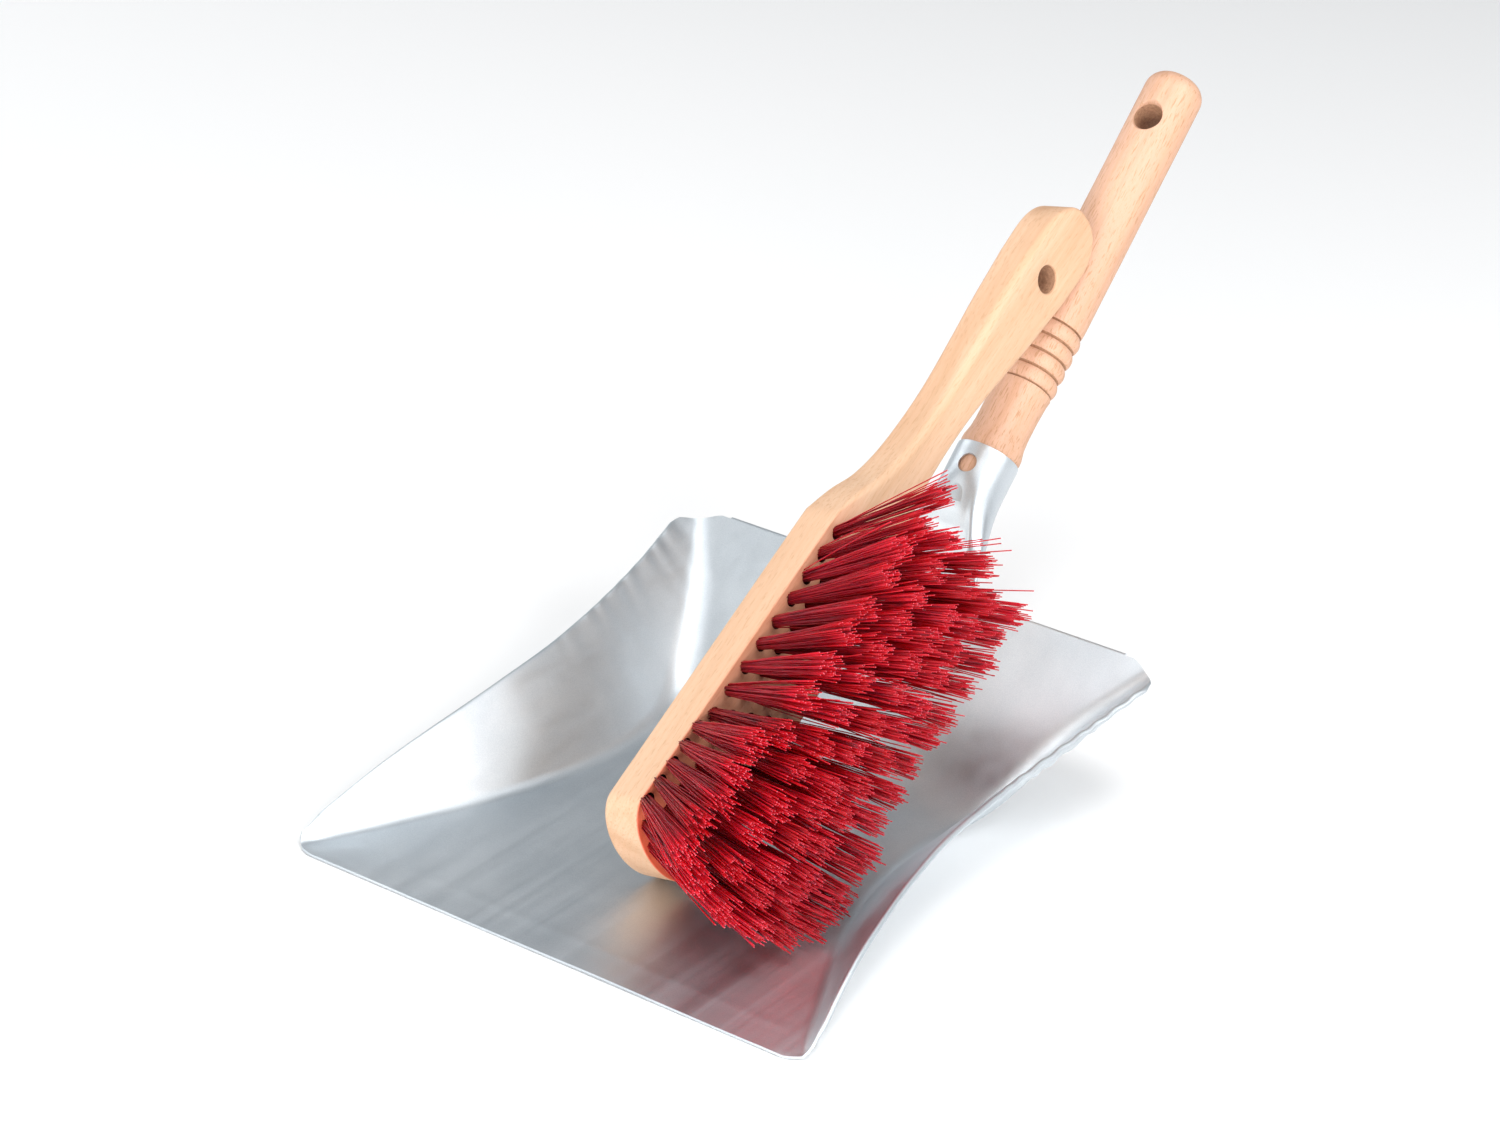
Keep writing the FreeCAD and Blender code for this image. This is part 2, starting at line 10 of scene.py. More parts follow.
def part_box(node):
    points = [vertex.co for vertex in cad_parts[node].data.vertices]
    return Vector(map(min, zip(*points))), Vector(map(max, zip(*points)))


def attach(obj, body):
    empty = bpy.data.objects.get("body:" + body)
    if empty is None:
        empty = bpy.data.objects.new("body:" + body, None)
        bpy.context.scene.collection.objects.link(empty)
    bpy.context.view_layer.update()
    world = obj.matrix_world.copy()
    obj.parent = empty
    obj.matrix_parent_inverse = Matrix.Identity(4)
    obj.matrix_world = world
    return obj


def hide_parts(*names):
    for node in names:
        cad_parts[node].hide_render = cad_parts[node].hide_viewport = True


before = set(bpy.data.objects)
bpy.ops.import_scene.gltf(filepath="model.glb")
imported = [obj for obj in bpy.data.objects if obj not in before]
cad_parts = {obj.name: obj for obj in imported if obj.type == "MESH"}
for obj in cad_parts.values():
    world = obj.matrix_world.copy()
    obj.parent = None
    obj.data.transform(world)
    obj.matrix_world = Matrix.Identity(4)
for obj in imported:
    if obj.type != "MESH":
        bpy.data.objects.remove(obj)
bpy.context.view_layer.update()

# Sizes are millimetres in the pan's own frame: X across, Y back from the front edge, Z up from
# the underside of the floor. Each finished mesh is scaled to metres and moved to the row frame.
MM = 0.001
TURN = 2 * math.pi
X_AXIS = Vector((1, 0, 0))
Y_AXIS = Vector((0, 1, 0))
FRONT_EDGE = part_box("pan_sheet")[0].y / MM      # where the pan's front edge lies in the row frame

# ---- The pan's sheet ----
SHEET = 1.0
PAN_DEPTH = 253.0
FLOOR_FLAT = 172.0
BEND_RADIUS = 42.0
WALL_ANGLE = math.radians(39.5)
FRONT_HALF = 120.0
FRONT_CORNER = 12.0
REAR_HALF = 116.0
REAR_CORNER = 20.5
REAR_CORNER_START = 233.0
HEM_LEAF = 9.0
HEM_GAP = 0.3
HEM_START = (8, 17)          # the side hems fade in and out between these distances
HEM_END = (236, 241)
SOCKET_GAP = 25.0
HEM_REACH = 95.8
HEM_WAVE_PITCH = 10.5
HEM_LEAF_SPREAD = 0.5        # how far the leaf's width varies
FOLD_STEPS = 6
LEAF_STEPS = 5
RIM_HALF_WIDTH = [(0, 119.7), (46, 110.0), (104, 102.4), (147, 102.0), (200, 107.5), (253, 116.7)]
RIM_HEIGHT = [(0, 1.9), (46, 20.4), (104, 33.4), (147, 38.8), (200, 46.0), (253, 57.2)]
CREASE_HALF_WIDTH = [(0, 118.4), (37, 100.9), (76, 83.6), (117, 71.8), (164, 70.3), (212, 86.0),
                     (253, 109.5)]
CREASE_RADIUS = [(0, 7.0), (117, 9.0), (164, 13.0), (212, 22.0), (253, 26.0)]
CREASE_SHARE = 0.4           # most of a wall's length that the crease's curve may take
FLOOR_CELLS = 40             # points across half the floor, the crease's curve and a wall
BEND_CELLS = 14
WALL_CELLS = 30
SECTION_PITCH = 1.75         # distance between cross-sections behind the front corners
SECTION_COUNT = 126
REAR_CORNER_STEPS = 16
SQUEEZE_FROM = 0.8           # the corners squeeze the profile beyond this share of its length
BROAD_DENT = 0.30            # height and length of the sheet's dents
BROAD_DENT_LENGTH = 55.0
SMALL_DENT = 0.10
SMALL_DENT_LENGTH = 17.0
TIP_DENT = 0.5
TIP_DENT_LENGTH = 6.0
TIP_END = (6, 26)            # the dents of the front tips fade out between these distances
PUCKER = 0.28                # height and pitch of the puckers along the rim
PUCKER_PITCH = 11.5
PUCKERS_START = (128, 175)
PUCKERS_END = (232, 250)
FRONT_BEAD = 0.22
FRONT_BEAD_AT = 15.0
FRONT_BEAD_END = (94, 108)

# ---- The socket and the pan's handle ----
MOUTH = Vector((0, 298.0, 97.5))
HANDLE_TILT = math.radians(43.6)
HANDLE_AXIS = Vector((0, math.cos(HANDLE_TILT), math.sin(HANDLE_TILT)))
HANDLE_TOP = Vector((0, -math.sin(HANDLE_TILT), math.cos(HANDLE_TILT)))
SOCKET_RADIUS = 13.75
SOCKET_WALL = 0.8
SOCKET_HOLE = 4.0
SOCKET_HOLE_DOWN = 10.0
SOCKET_HOLE_TURNS = 40
# (distance below the mouth, half width, half height) of the tube as it flattens
SOCKET_SHAPE = [(0, 13.75, 13.75), (16, 13.75, 13.75), (27, 15.2, 11.6), (38, 18.0, 7.2), (48, 20.6, 3.2)]
TONGUE_HALF_WIDTH = 22.0
TONGUE_THICK = 1.6
TONGUE_LENGTH = 36.0
TONGUE_START = 5.0
TONGUE_CORNER = 10.0
SOCKET_TURNS = 72
SOCKET_STEPS = 32
TONGUE_STEPS = 6             # sections from the tube's flat end to the tongue
INSIDE_DEPTHS = (26, 18, 10, 3, 0.4)
RIDGES_START = (12, 24)      # distances below the mouth
RIDGES_END = (38, 48)
FLATTENING = (20, 45)
RIDGE_AT = 0.66              # where the soft ridges stand, as a share of the half width
RIDGE_HIGH = 1.1
OVAL = 2.0                   # 2 is an oval, and a larger number is squarer
FLAT_OVAL = 2.8
TONGUE_OVAL = 5.0
RIVETS = [(-13.0, 11.0), (13.0, 11.0), (0.0, 25.0)]
RIVET_SHANK = 2.0
RIVET_HEAD = 3.8
# (height, share of the head's radius) of the domed head
RIVET_DOME = [(0.0, 1.0), (0.35, 0.97), (0.8, 0.8), (1.15, 0.52), (1.4, 0.2)]
HANDLE_LENGTH = 186.0
GRIP_RADIUS = 12.75
BEAD_START = 33.0
BEAD_PITCH = 7.3
BEAD_COUNT = 4
BEAD_RADIUS = 13.3
GROOVE_RADIUS = 11.5
HANDLE_END_ROUND = 8.0
HANDLE_HOLE = 6.25
HANDLE_HOLE_AT = 161.0
HANDLE_HOLE_TURNS = 64
HANDLE_TURNS = 96
HANDLE_HOLE_STRAIGHT = 10.4  # height above the axis from which the hole's edge is rounded
# (distance past the mouth, radius) of the tenon, the collar and the hollow before the beads
HANDLE_START = [(-28, 0), (-28, 9.2), (-15, 12.5), (-1, 12.5), (0.5, 13.0), (2.0, 13.3), (4.0, 13.2),
                (6, 12.7), (8.5, 12.2), (13, 11.9), (22, 11.9), (30, 12.3), (32.2, 12.7), (32.75, 12.5)]
HANDLE_END_TURNS = 10
BEAD_STEPS = 12
GRIP_STEPS = 24

# ---- The brush: ALONG from the toe to the handle's end, OUT the way the bristles point ----
BRUSH_TOE = Vector((13.5, 52.5, 18.9))
ALONG = Vector((-0.018, 0.870, 0.493)).normalized()
OUT = Vector((0.964, -0.115, 0.239))
OUT = (OUT - ALONG * OUT.dot(ALONG)).normalized()
SIDE = OUT.cross(ALONG)
BRUSH_LENGTH = 344.0
BRUSH_THICK = 18.0
BLOCK_HALF = 22.7
BLOCK_END = 158.5
TOE_DEPTH = 14.0
GRIP_END_DEPTH = 23.0
BRUSH_NECK = [(158.5, 22.7), (173, 18.6), (186, 13.4), (202, 10.2), (222, 9.0), (240, 9.4),
              (262, 11.6), (286, 14.4), (308.5, 16.0)]
GRIP_HALF = 16.0
GRIP_SQUARE = 0.86           # below 1 the grip's end is fuller than an ellipse
BRUSH_HOLE = 5.8
BRUSH_HOLE_AT = 308.5
FACE_EDGE = 0.5              # rounding of the block's edges on the bristle face
BACK_EDGE = 2.0              # and on its back
GRIP_EDGE = 3.6              # rounding of the handle's edges
GRIP_END_EDGE = 2.0          # and at the handle's end
GRIP_EDGE_SPAN = (150, 192)  # each rounding of the handle takes over between these distances
GRIP_END_SPAN = (290, 335)
TUFT_HOLE = 2.6
TUFT_HOLE_DEPTH = 7.0
TUFT_HOLE_TURNS = 16
BRUSH_HOLE_TURNS = 48
# (depth below the face, extra radius) of the hanging hole's softened edge
BRUSH_HOLE_EDGE = [(0.0, 1.1), (0.12, 0.6), (0.42, 0.2), (1.1, 0.0)]
STRAIGHT_START = 60.0        # first tuft of the straight rows, and their pitch
TUFT_PITCH = 11.5
EDGE_START = 15.5            # first of the closer tufts along the toe's edges, and their pitch
EDGE_PITCH = 8.9
EDGE_COUNT = 5
STRAIGHT_COUNT = 9
TOE_COUNT = 4                # tufts of each inner row nearer the toe than the straight rows
TOE_RING_TURNS = (-54, -18, 18, 54)
TOE_RING_AT = 15.0
TOE_RING_REACH = 9.5
TOE_RING_HALF = 16.0
OUTER_SIDE = 16.8            # distance of the rows from the brush's middle
INNER_SIDE = 8.4
EDGE_SIDE = 19.4
NEAR_SPREAD = 18.5           # sideways lean of the outer tufts in degrees
FAR_SPREAD = 11.5
# (distance from the toe, lean along the brush in degrees) of the tufts along each long edge
NEAR_LEAN = [(5, -33), (15.5, -29), (33, -24), (51, -18), (71.5, -11.5), (94.5, -2), (129, 3.3), (152, 8)]
FAR_LEAN = [(5, -10), (15.5, -5), (33, -8.5), (60, -6.8), (85, 0), (120, 4), (152, 8)]
STRANDS = 60
STRAND_RADIUS = 0.24
TUFT_ROOT = 2.15
TUFT_TIP = [(0, 5.7), (60, 5.4), (110, 4.8), (152, 4.8)]    # (distance from the toe, tip radius)
TUFT_HEIGHT = 60.0
ROOT_DEPTH = 3.0             # how far the bristles start below the face
STRAND_SIDES = 5
STRAND_SHARES = [0.0, 0.22, 0.45, 0.7, 1.0]
GOLDEN_ANGLE = 2.39996       # spreads the bristles evenly over the tuft
LENGTH_SPREAD = 1.5          # standard deviations
WANDER = 1.0
BEND = 0.5
STRAY_WANDER = 3.5
STRAY_CHANCE = 0.012
STRAY_CHANCE_HEEL = 0.07     # added for the last tufts, at the heel
STRAY_LEAN_HEEL = 4.0
HEEL_SPAN = (120, 152)
BRISTLE_SEED = 21
CLEARANCE = 0.8              # kept between a bristle's axis and the sheet


def smooth(stations):
    """Return a function that runs smoothly through (position, value) pairs."""
    count = len(stations)
    slopes = []
    for i in range(count):
        low = stations[max(i - 1, 0)]
        high = stations[min(i + 1, count - 1)]
        slopes.append((high[1] - low[1]) / (high[0] - low[0]))

    def value(position):
        i = 0
        while i < count - 2 and position > stations[i + 1][0]:
            i += 1
        start, end = stations[i], stations[i + 1]
        span = end[0] - start[0]
        t = (position - start[0]) / span
        rise = (3 - 2 * t) * t * t
        curve_in = t * (1 - t) * (1 - t) * slopes[i] * span
        curve_out = t * t * (t - 1) * slopes[i + 1] * span
        return start[1] + (end[1] - start[1]) * rise + curve_in + curve_out

    return value


def step(low, high, value):
    """0 below low, 1 above high and a smooth rise between them."""
    t = min(max((value - low) / (high - low), 0.0), 1.0)
    return t * t * (3 - 2 * t)


def mix(a, b, t):
    return a + (b - a) * t


def between(stations, position):
    """Value at a position, straight between (position, value) pairs."""
    for (start, low), (end, high) in zip(stations, stations[1:]):
        if position <= end:
            return mix(low, high, (position - start) / (end - start))
    return stations[-1][1]


def row_matrix(origin, x_axis, y_axis, z_axis):
    """Matrix from a local frame in millimetres to the row frame in metres."""
    turn = Matrix((x_axis, y_axis, z_axis)).transposed().to_4x4()
    place = Matrix.Translation((origin + Y_AXIS * FRONT_EDGE) * MM)
    return place @ turn


PAN_PLACE = row_matrix(Vector((0, 0, 0)), X_AXIS, Y_AXIS, Vector((0, 0, 1)))
HANDLE_PLACE = row_matrix(MOUTH, HANDLE_AXIS, -X_AXIS, HANDLE_TOP)
BRUSH_PLACE = row_matrix(BRUSH_TOE, ALONG, SIDE, OUT)


def add_piece(name, points, faces, place, slots=None, tidy=True):
    """Make a mesh object from points in millimetres, with its normals outwards."""
    mesh = bpy.data.meshes.new(name)
    mesh.from_pydata([Vector(p) * MM for p in points], [], faces)
    if slots:
        mesh.polygons.foreach_set("material_index", slots)
    if tidy:
        work = bmesh.new()
        work.from_mesh(mesh)
        bmesh.ops.remove_doubles(work, verts=work.verts, dist=2e-7)
        bmesh.ops.dissolve_degenerate(work, edges=work.edges, dist=1e-7)
        bmesh.ops.recalc_face_normals(work, faces=work.faces)
        work.to_mesh(mesh)
        work.free()
    piece = bpy.data.objects.new(name, mesh)
    bpy.context.scene.collection.objects.link(piece)
    piece.matrix_world = place
    return piece


def shade_smooth(piece, angle):
    """Smooth shading, with edges sharper than the angle kept sharp."""
    mesh = piece.data
    mesh.polygons.foreach_set("use_smooth", [True] * len(mesh.polygons))
    mesh.set_sharp_from_angle(angle=math.radians(angle))


def around(count):
    """Cosine and sine of evenly spaced turns."""
    return [(math.cos(TURN * i / count), math.sin(TURN * i / count)) for i in range(count)]


def bridge(faces, first, second, count):
    """Add quads between two rings of vertices that start at the given numbers."""
    for i in range(count):
        j = (i + 1) % count
        faces.append((first + i, first + j, second + j, second + i))


def add_tube(faces, first, rings, count, capped=True):
    """Join successive rings of vertices and, if capped, close both ends."""
    for i in range(rings - 1):
        bridge(faces, first + i * count, first + (i + 1) * count, count)
    if capped:
        last = first + (rings - 1) * count
        faces.append(tuple(range(first, first + count)))
        faces.append(tuple(range(last, last + count)))


def carve(piece, cutter):
    """Cut one mesh out of another and remove the cutter."""
    cut = piece.modifiers.new("cut", "BOOLEAN")
    cut.operation = "DIFFERENCE"
    cut.solver = "EXACT"
    cut.object = cutter
    shaped = piece.evaluated_get(bpy.context.evaluated_depsgraph_get())
    mesh = bpy.data.meshes.new_from_object(shaped)
    piece.modifiers.clear()
    old = piece.data
    piece.data = mesh
    bpy.data.meshes.remove(old)
    bpy.data.objects.remove(cutter)


# ---- Shape of the pan's inner face ----
rim_half_width = smooth(RIM_HALF_WIDTH)
rim_height = smooth(RIM_HEIGHT)
crease_half_width = smooth(CREASE_HALF_WIDTH)
crease_radius = smooth(CREASE_RADIUS)
BEND_END = FLOOR_FLAT + BEND_RADIUS * math.sin(WALL_ANGLE)
BEND_RISE = BEND_RADIUS * (1 - math.cos(WALL_ANGLE))


def floor_top(y):
    """Height of the floor's or back wall's upper face."""
    if y <= FLOOR_FLAT:
        return SHEET
    if y >= BEND_END:
        return SHEET + BEND_RISE + (y - BEND_END) * math.tan(WALL_ANGLE)
    return SHEET + BEND_RADIUS * (1 - math.cos(math.asin((y - FLOOR_FLAT) / BEND_RADIUS)))


def half_profile(y):
    """Inner face from the middle to the right rim, as (x, z) points."""
    top = floor_top(y)
    crease = crease_half_width(y)
    run = rim_half_width(y) - crease
    rise = rim_height(y) - top
    angle = math.atan2(rise, run)
    length = math.hypot(run, rise)
    radius = min(crease_radius(y), CREASE_SHARE * length / math.tan(angle / 2))
    tangent = radius * math.tan(angle / 2)
    start = crease - tangent
    points = [(start * i / FLOOR_CELLS, top) for i in range(FLOOR_CELLS)]
    for i in range(BEND_CELLS + 1):
        turn = angle * i / BEND_CELLS
        points.append((start + radius * math.sin(turn), top + radius * (1 - math.cos(turn))))
    for i in range(1, WALL_CELLS + 1):
        reach = tangent + (length - tangent) * i / WALL_CELLS
        points.append((crease + reach * math.cos(angle), top + reach * math.sin(angle)))
    return points


def plan_limit(y):
    """Half width allowed by the rounded corners, seen from above."""
    if y < FRONT_CORNER:
        return FRONT_HALF - FRONT_CORNER + math.sqrt(FRONT_CORNER ** 2 - (FRONT_CORNER - y) ** 2)
    if y > REAR_CORNER_START:
        return REAR_HALF - REAR_CORNER + math.sqrt(REAR_CORNER ** 2 - (y - REAR_CORNER_START) ** 2)
    return FRONT_HALF


def trimmed(points, limit):
    """Squeeze the outer points of a profile so that none lies beyond the limit."""
    if points[-1][0] <= limit:
        return points
    reach = [0.0]
    for (x0, z0), (x1, z1) in zip(points, points[1:]):
        reach.append(reach[-1] + math.hypot(x1 - x0, z1 - z0))

    def at(distance):
        i = 0
        while i < len(points) - 2 and reach[i + 1] < distance:
            i += 1
        t = (distance - reach[i]) / (reach[i + 1] - reach[i])
        return mix(points[i][0], points[i + 1][0], t), mix(points[i][1], points[i + 1][1], t)

    i = next(n for n, p in enumerate(points) if p[0] > limit)
    share = (limit - points[i - 1][0]) / (points[i][0] - points[i - 1][0])
    end = mix(reach[i - 1], reach[i], share)
    pivot = SQUEEZE_FROM * end
    squeeze = (end - pivot) / (reach[-1] - pivot)
    return [at(d if d < pivot else pivot + (d - pivot) * squeeze) for d in reach]


def pan_top(x, y):
    """Height of the inner face at a point, for keeping bristles clear of it."""
    points = half_profile(min(max(y, 0.0), PAN_DEPTH))
    for (x0, z0), (x1, z1) in zip(points, points[1:]):
        if abs(x) <= x1:
            return mix(z0, z1, (abs(x) - x0) / (x1 - x0))
    return points[-1][1]


def sheet_relief(x, y, z, from_rim):
    """Small dents and waves of the pressed sheet, along its normal."""
    at = Vector((x, y, z))
    relief = BROAD_DENT * noise.noise(at / BROAD_DENT_LENGTH)
    relief += SMALL_DENT * noise.noise(at / SMALL_DENT_LENGTH + Vector((9, 4, 1)))
    pucker = step(*PUCKERS_START, y) * (1 - step(*PUCKERS_END, y)) * math.exp(-from_rim / 9.0)
    phase = y / PUCKER_PITCH + 0.7 * noise.noise(Vector((y / 23.0, x / 90.0, 3.0)))
    relief += PUCKER * pucker * math.sin(TURN * phase)
    tip = (1 - step(*TIP_END, y)) * math.exp(-from_rim / 6.0)
    relief += TIP_DENT * tip * noise.noise(at / TIP_DENT_LENGTH)
    bead = math.exp(-((y - FRONT_BEAD_AT) / 2.5) ** 2) * (1 - step(*FRONT_BEAD_END, abs(x)))
    relief += FRONT_BEAD * bead
    return relief


def hem_wave(distance, seed):
    """How far the hem's raw edge stands off, from 0 to about 1."""
    drift = noise.noise(Vector((distance / 25.0, seed, 0)))
    ripple = math.sin(TURN * (distance / HEM_WAVE_PITCH + drift))
    return 0.45 + 0.4 * ripple + 0.25 * noise.noise(Vector((distance / 6.0, seed, 5)))


def section_places():
    """Distances from the front edge at which the sheet's sections stand."""
    ys = [FRONT_CORNER * (1 - math.cos(math.radians(turn))) for turn in range(0, 90, 9)]
    ys += [FRONT_CORNER + SECTION_PITCH * i for i in range(SECTION_COUNT)]
    last = math.asin((PAN_DEPTH - REAR_CORNER_START) / REAR_CORNER)
    for i in range(REAR_CORNER_STEPS + 1):
        ys.append(REAR_CORNER_START + REAR_CORNER * math.sin(last * i / REAR_CORNER_STEPS))
    return sorted(set(round(y, 5) for y in ys if y <= PAN_DEPTH + 1e-6))


def hem_points(rim, outwards, away, share, wave, seed):
    """Fold and leaf of the hem at one station, from the inner face round to the outer face."""
    radius = SHEET + HEM_GAP / 2
    leaf = HEM_LEAF + HEM_LEAF_SPREAD * noise.noise(Vector((seed, rim.y / 7.0, rim.x / 7.0)))
    points = []
    for k in range(1, FOLD_STEPS + 1):
        turn = math.pi * k / FOLD_STEPS
        depth = mix(SHEET * k / FOLD_STEPS, radius * (1 - math.cos(turn)), share)
        points.append(rim + outwards * (radius * math.sin(turn) * share) + away * depth)
    for k in range(1, LEAF_STEPS + 1):
        back = k / LEAF_STEPS
        depth = mix(SHEET, 2 * radius + wave * back * back, share)
        points.append(rim - outwards * (leaf * back * share) + away * depth)
    for k in range(LEAF_STEPS, -1, -1):
        back = k / LEAF_STEPS
        depth = mix(SHEET, 2 * radius - SHEET + wave * back * back, share)
        points.append(rim - outwards * (leaf * back * share) + away * depth)
    return points


def sheet_points():
    """Closed sections of the sheet, all with the same number of points."""
    ys = section_places()
    upper = []
    for y in ys:
        half = trimmed(half_profile(y), plan_limit(y))
        left = [Vector((-x, y, z)) for x, z in reversed(half[1:])]
        upper.append(left + [Vector((x, y, z)) for x, z in half])
    count = len(upper[0])
    rings = []
    for i, line in enumerate(upper):
        before, after = upper[max(i - 1, 0)], upper[min(i + 1, len(upper) - 1)]
        normals = []
        for j in range(count):
            across = line[min(j + 1, count - 1)] - line[max(j - 1, 0)]
            normals.append(across.cross(after[j] - before[j]).normalized())
        top = []
        for j, point in enumerate(line):
            rim = line[0] if point.x < 0 else line[-1]
            relief = sheet_relief(point.x, point.y, point.z, (rim - point).length)
            top.append(point + normals[j] * relief)
        bottom = [point - normal * SHEET for point, normal in zip(top, normals)]
        share = step(*HEM_START, ys[i]) * (1 - step(*HEM_END, ys[i]))
        right = hem_points(top[-1], (top[-1] - top[-2]).normalized(), -normals[-1], share,
                           hem_wave(ys[i], 2.0), 4.0)
        left = hem_points(top[0], (top[0] - top[1]).normalized(), -normals[0], share,
                          hem_wave(ys[i], 8.0), 6.0)
        rings.append(top + right + list(reversed(bottom)) + list(reversed(left)))
    return rings, count, len(right)


def back_hem(points, faces, start, end):
    """Folded edge along the top of the back wall, with its wavy raw edge."""
    steps = round((end - start) / 2.0)
    radius = SHEET + HEM_GAP / 2
    up = Vector((0, math.cos(WALL_ANGLE), math.sin(WALL_ANGLE)))
    away = Vector((0, math.sin(WALL_ANGLE), -math.cos(WALL_ANGLE)))
    first = len(points)
    for i in range(steps + 1):
        x = mix(start, end, i / steps)
        rim = Vector((x, PAN_DEPTH, floor_top(PAN_DEPTH)))
        ring = [rim] + hem_points(rim, up, away, 1.0, hem_wave(x, 5.0), 1.0)
        inner = radius - SHEET
        ring += [rim + up * inner + away * radius, rim + away * SHEET]
        points.extend(ring)
    add_tube(faces, first, steps + 1, len(ring))


def make_pan_sheet():
    rings, top_count, hem_count = sheet_points()
    points = [p for ring in rings for p in ring]
    size = len(rings[0])
    faces = []
    add_tube(faces, 0, len(rings), size, capped=False)
    bottom_start = top_count + hem_count
    for row in (0, (len(rings) - 1) * size):
        for j in range(top_count - 1):
            below = bottom_start + top_count - 1 - j
            faces.append((row + j, row + j + 1, row + below - 1, row + below))
        for start in (top_count - 1, bottom_start + top_count - 1):
            faces.append(tuple(row + (start + k) % size for k in range(hem_count + 2)))
    back_hem(points, faces, -HEM_REACH, -SOCKET_GAP)
    back_hem(points, faces, SOCKET_GAP, HEM_REACH)
    piece = add_piece("pan_sheet_pressed", points, faces, PAN_PLACE)
    shade_smooth(piece, 50)
    return piece


# ---- Socket, rivets and the pan's handle ----
def on_back_wall(x, up, depth):
    """Point measured from the back wall's top edge: across, up the wall, and below its face."""
    y = PAN_DEPTH + up * math.cos(WALL_ANGLE) + depth * math.sin(WALL_ANGLE)
    z = floor_top(PAN_DEPTH) + up * math.sin(WALL_ANGLE) - depth * math.cos(WALL_ANGLE)
    return Vector((x, y, z))


WALL_OUT = Vector((0, math.sin(WALL_ANGLE), -math.cos(WALL_ANGLE)))


def socket_ring(centre, half_width, half_height, top, fold, square):
    """One section of the socket. fold raises two soft ridges, and square flattens the oval."""
    ring = []
    power = OVAL / square
    for c, s in around(SOCKET_TURNS):
        across = math.copysign(abs(c) ** power, c) * half_width
        high = math.copysign(abs(s) ** power, s) * half_height
        if s > 0:
            ridge = math.exp(-((abs(c) - RIDGE_AT) / 0.12) ** 2)
            hollow = 0.10 * fold * math.exp(-(c / 0.5) ** 2)
            high = high * (1 - hollow) + RIDGE_HIGH * fold * ridge
        ring.append(centre + X_AXIS * across + top * high)
    return ring


def make_socket():
    half_width = smooth([(d, w) for d, w, h in SOCKET_SHAPE])
    half_height = smooth([(d, h) for d, w, h in SOCKET_SHAPE])
    last, last_wide, last_high = SOCKET_SHAPE[-1]
    rings = []
    for down in INSIDE_DEPTHS:
        wide = half_width(down) - SOCKET_WALL
        high = half_height(down) - SOCKET_WALL
        rings.append(socket_ring(MOUTH - HANDLE_AXIS * down, wide, high, HANDLE_TOP, 0.0, OVAL))
    lip = MOUTH - HANDLE_AXIS * 0.1
    for radius in (SOCKET_RADIUS - 0.5, SOCKET_RADIUS - 0.1):
        rings.append(socket_ring(lip, radius, radius, HANDLE_TOP, 0.0, OVAL))
    for i in range(1, SOCKET_STEPS + 1):
        down = last * i / SOCKET_STEPS
        fold = step(*RIDGES_START, down) * (1 - step(*RIDGES_END, down))
        square = mix(OVAL, FLAT_OVAL, step(*FLATTENING, down))
        rings.append(socket_ring(MOUTH - HANDLE_AXIS * down, half_width(down), half_height(down),
                                 HANDLE_TOP, fold, square))
    tube_end = MOUTH - HANDLE_AXIS * last
    middle = on_back_wall(0, TONGUE_START, SHEET + TONGUE_THICK / 2)
    for i in range(1, TONGUE_STEPS + 1):
        t = i / TONGUE_STEPS
        eased = step(0, 1, t)
        top = HANDLE_TOP.lerp(-WALL_OUT, eased).normalized()
        wide = mix(last_wide, TONGUE_HALF_WIDTH, eased)
        high = mix(last_high, TONGUE_THICK / 2, eased)
        square = mix(FLAT_OVAL, TONGUE_OVAL, eased)
        rings.append(socket_ring(tube_end.lerp(middle, t), wide, high, top, 0.0, square))
    reaches = [0.0, 12.0, 24.0]
    for angle in range(0, 91, 15):
        reaches.append(TONGUE_LENGTH - TONGUE_CORNER * (1 - math.sin(math.radians(angle))))
    for reach in reaches:
        past = max(0.0, reach - (TONGUE_LENGTH - TONGUE_CORNER))
        narrow = TONGUE_CORNER - math.sqrt(max(TONGUE_CORNER ** 2 - past ** 2, 0.0))
        centre = on_back_wall(0, -reach, SHEET + TONGUE_THICK / 2)
        rings.append(socket_ring(centre, TONGUE_HALF_WIDTH - narrow, TONGUE_THICK / 2, -WALL_OUT, 0.0,
                                 TONGUE_OVAL))
    faces = []
    add_tube(faces, 0, len(rings), SOCKET_TURNS)
    to_handle = Matrix((HANDLE_AXIS, -X_AXIS, HANDLE_TOP))
    local = [to_handle @ (p - MOUTH) for ring in rings for p in ring]
    piece = add_piece("socket_rolled", local, faces, HANDLE_PLACE)
    profile = [(4, 0), (4, SOCKET_HOLE), (SOCKET_RADIUS - 0.4, SOCKET_HOLE),
               (SOCKET_RADIUS + 0.6, SOCKET_HOLE + 0.7), (SOCKET_RADIUS + 4, SOCKET_HOLE + 0.7),
               (SOCKET_RADIUS + 4, 0)]
    carve(piece, hole_cutter(profile, -SOCKET_HOLE_DOWN, SOCKET_HOLE_TURNS))
    shade_smooth(piece, 40)
    return piece


def lathe(name, profile, place, turns):
    """Turn (distance, radius) pairs about the local X axis. The ends lie on the axis."""
    points = [(profile[0][0], 0, 0)]
    for distance, radius in profile[1:-1]:
        points += [(distance, radius * c, radius * s) for c, s in around(turns)]
    points.append((profile[-1][0], 0, 0))
    faces = [(0, 1 + (i + 1) % turns, 1 + i) for i in range(turns)]
    rings = len(profile) - 2
    add_tube(faces, 1, rings, turns, capped=False)
    start = 1 + (rings - 1) * turns
    faces += [(len(points) - 1, start + i, start + (i + 1) % turns) for i in range(turns)]
    return add_piece(name, points, faces, place)


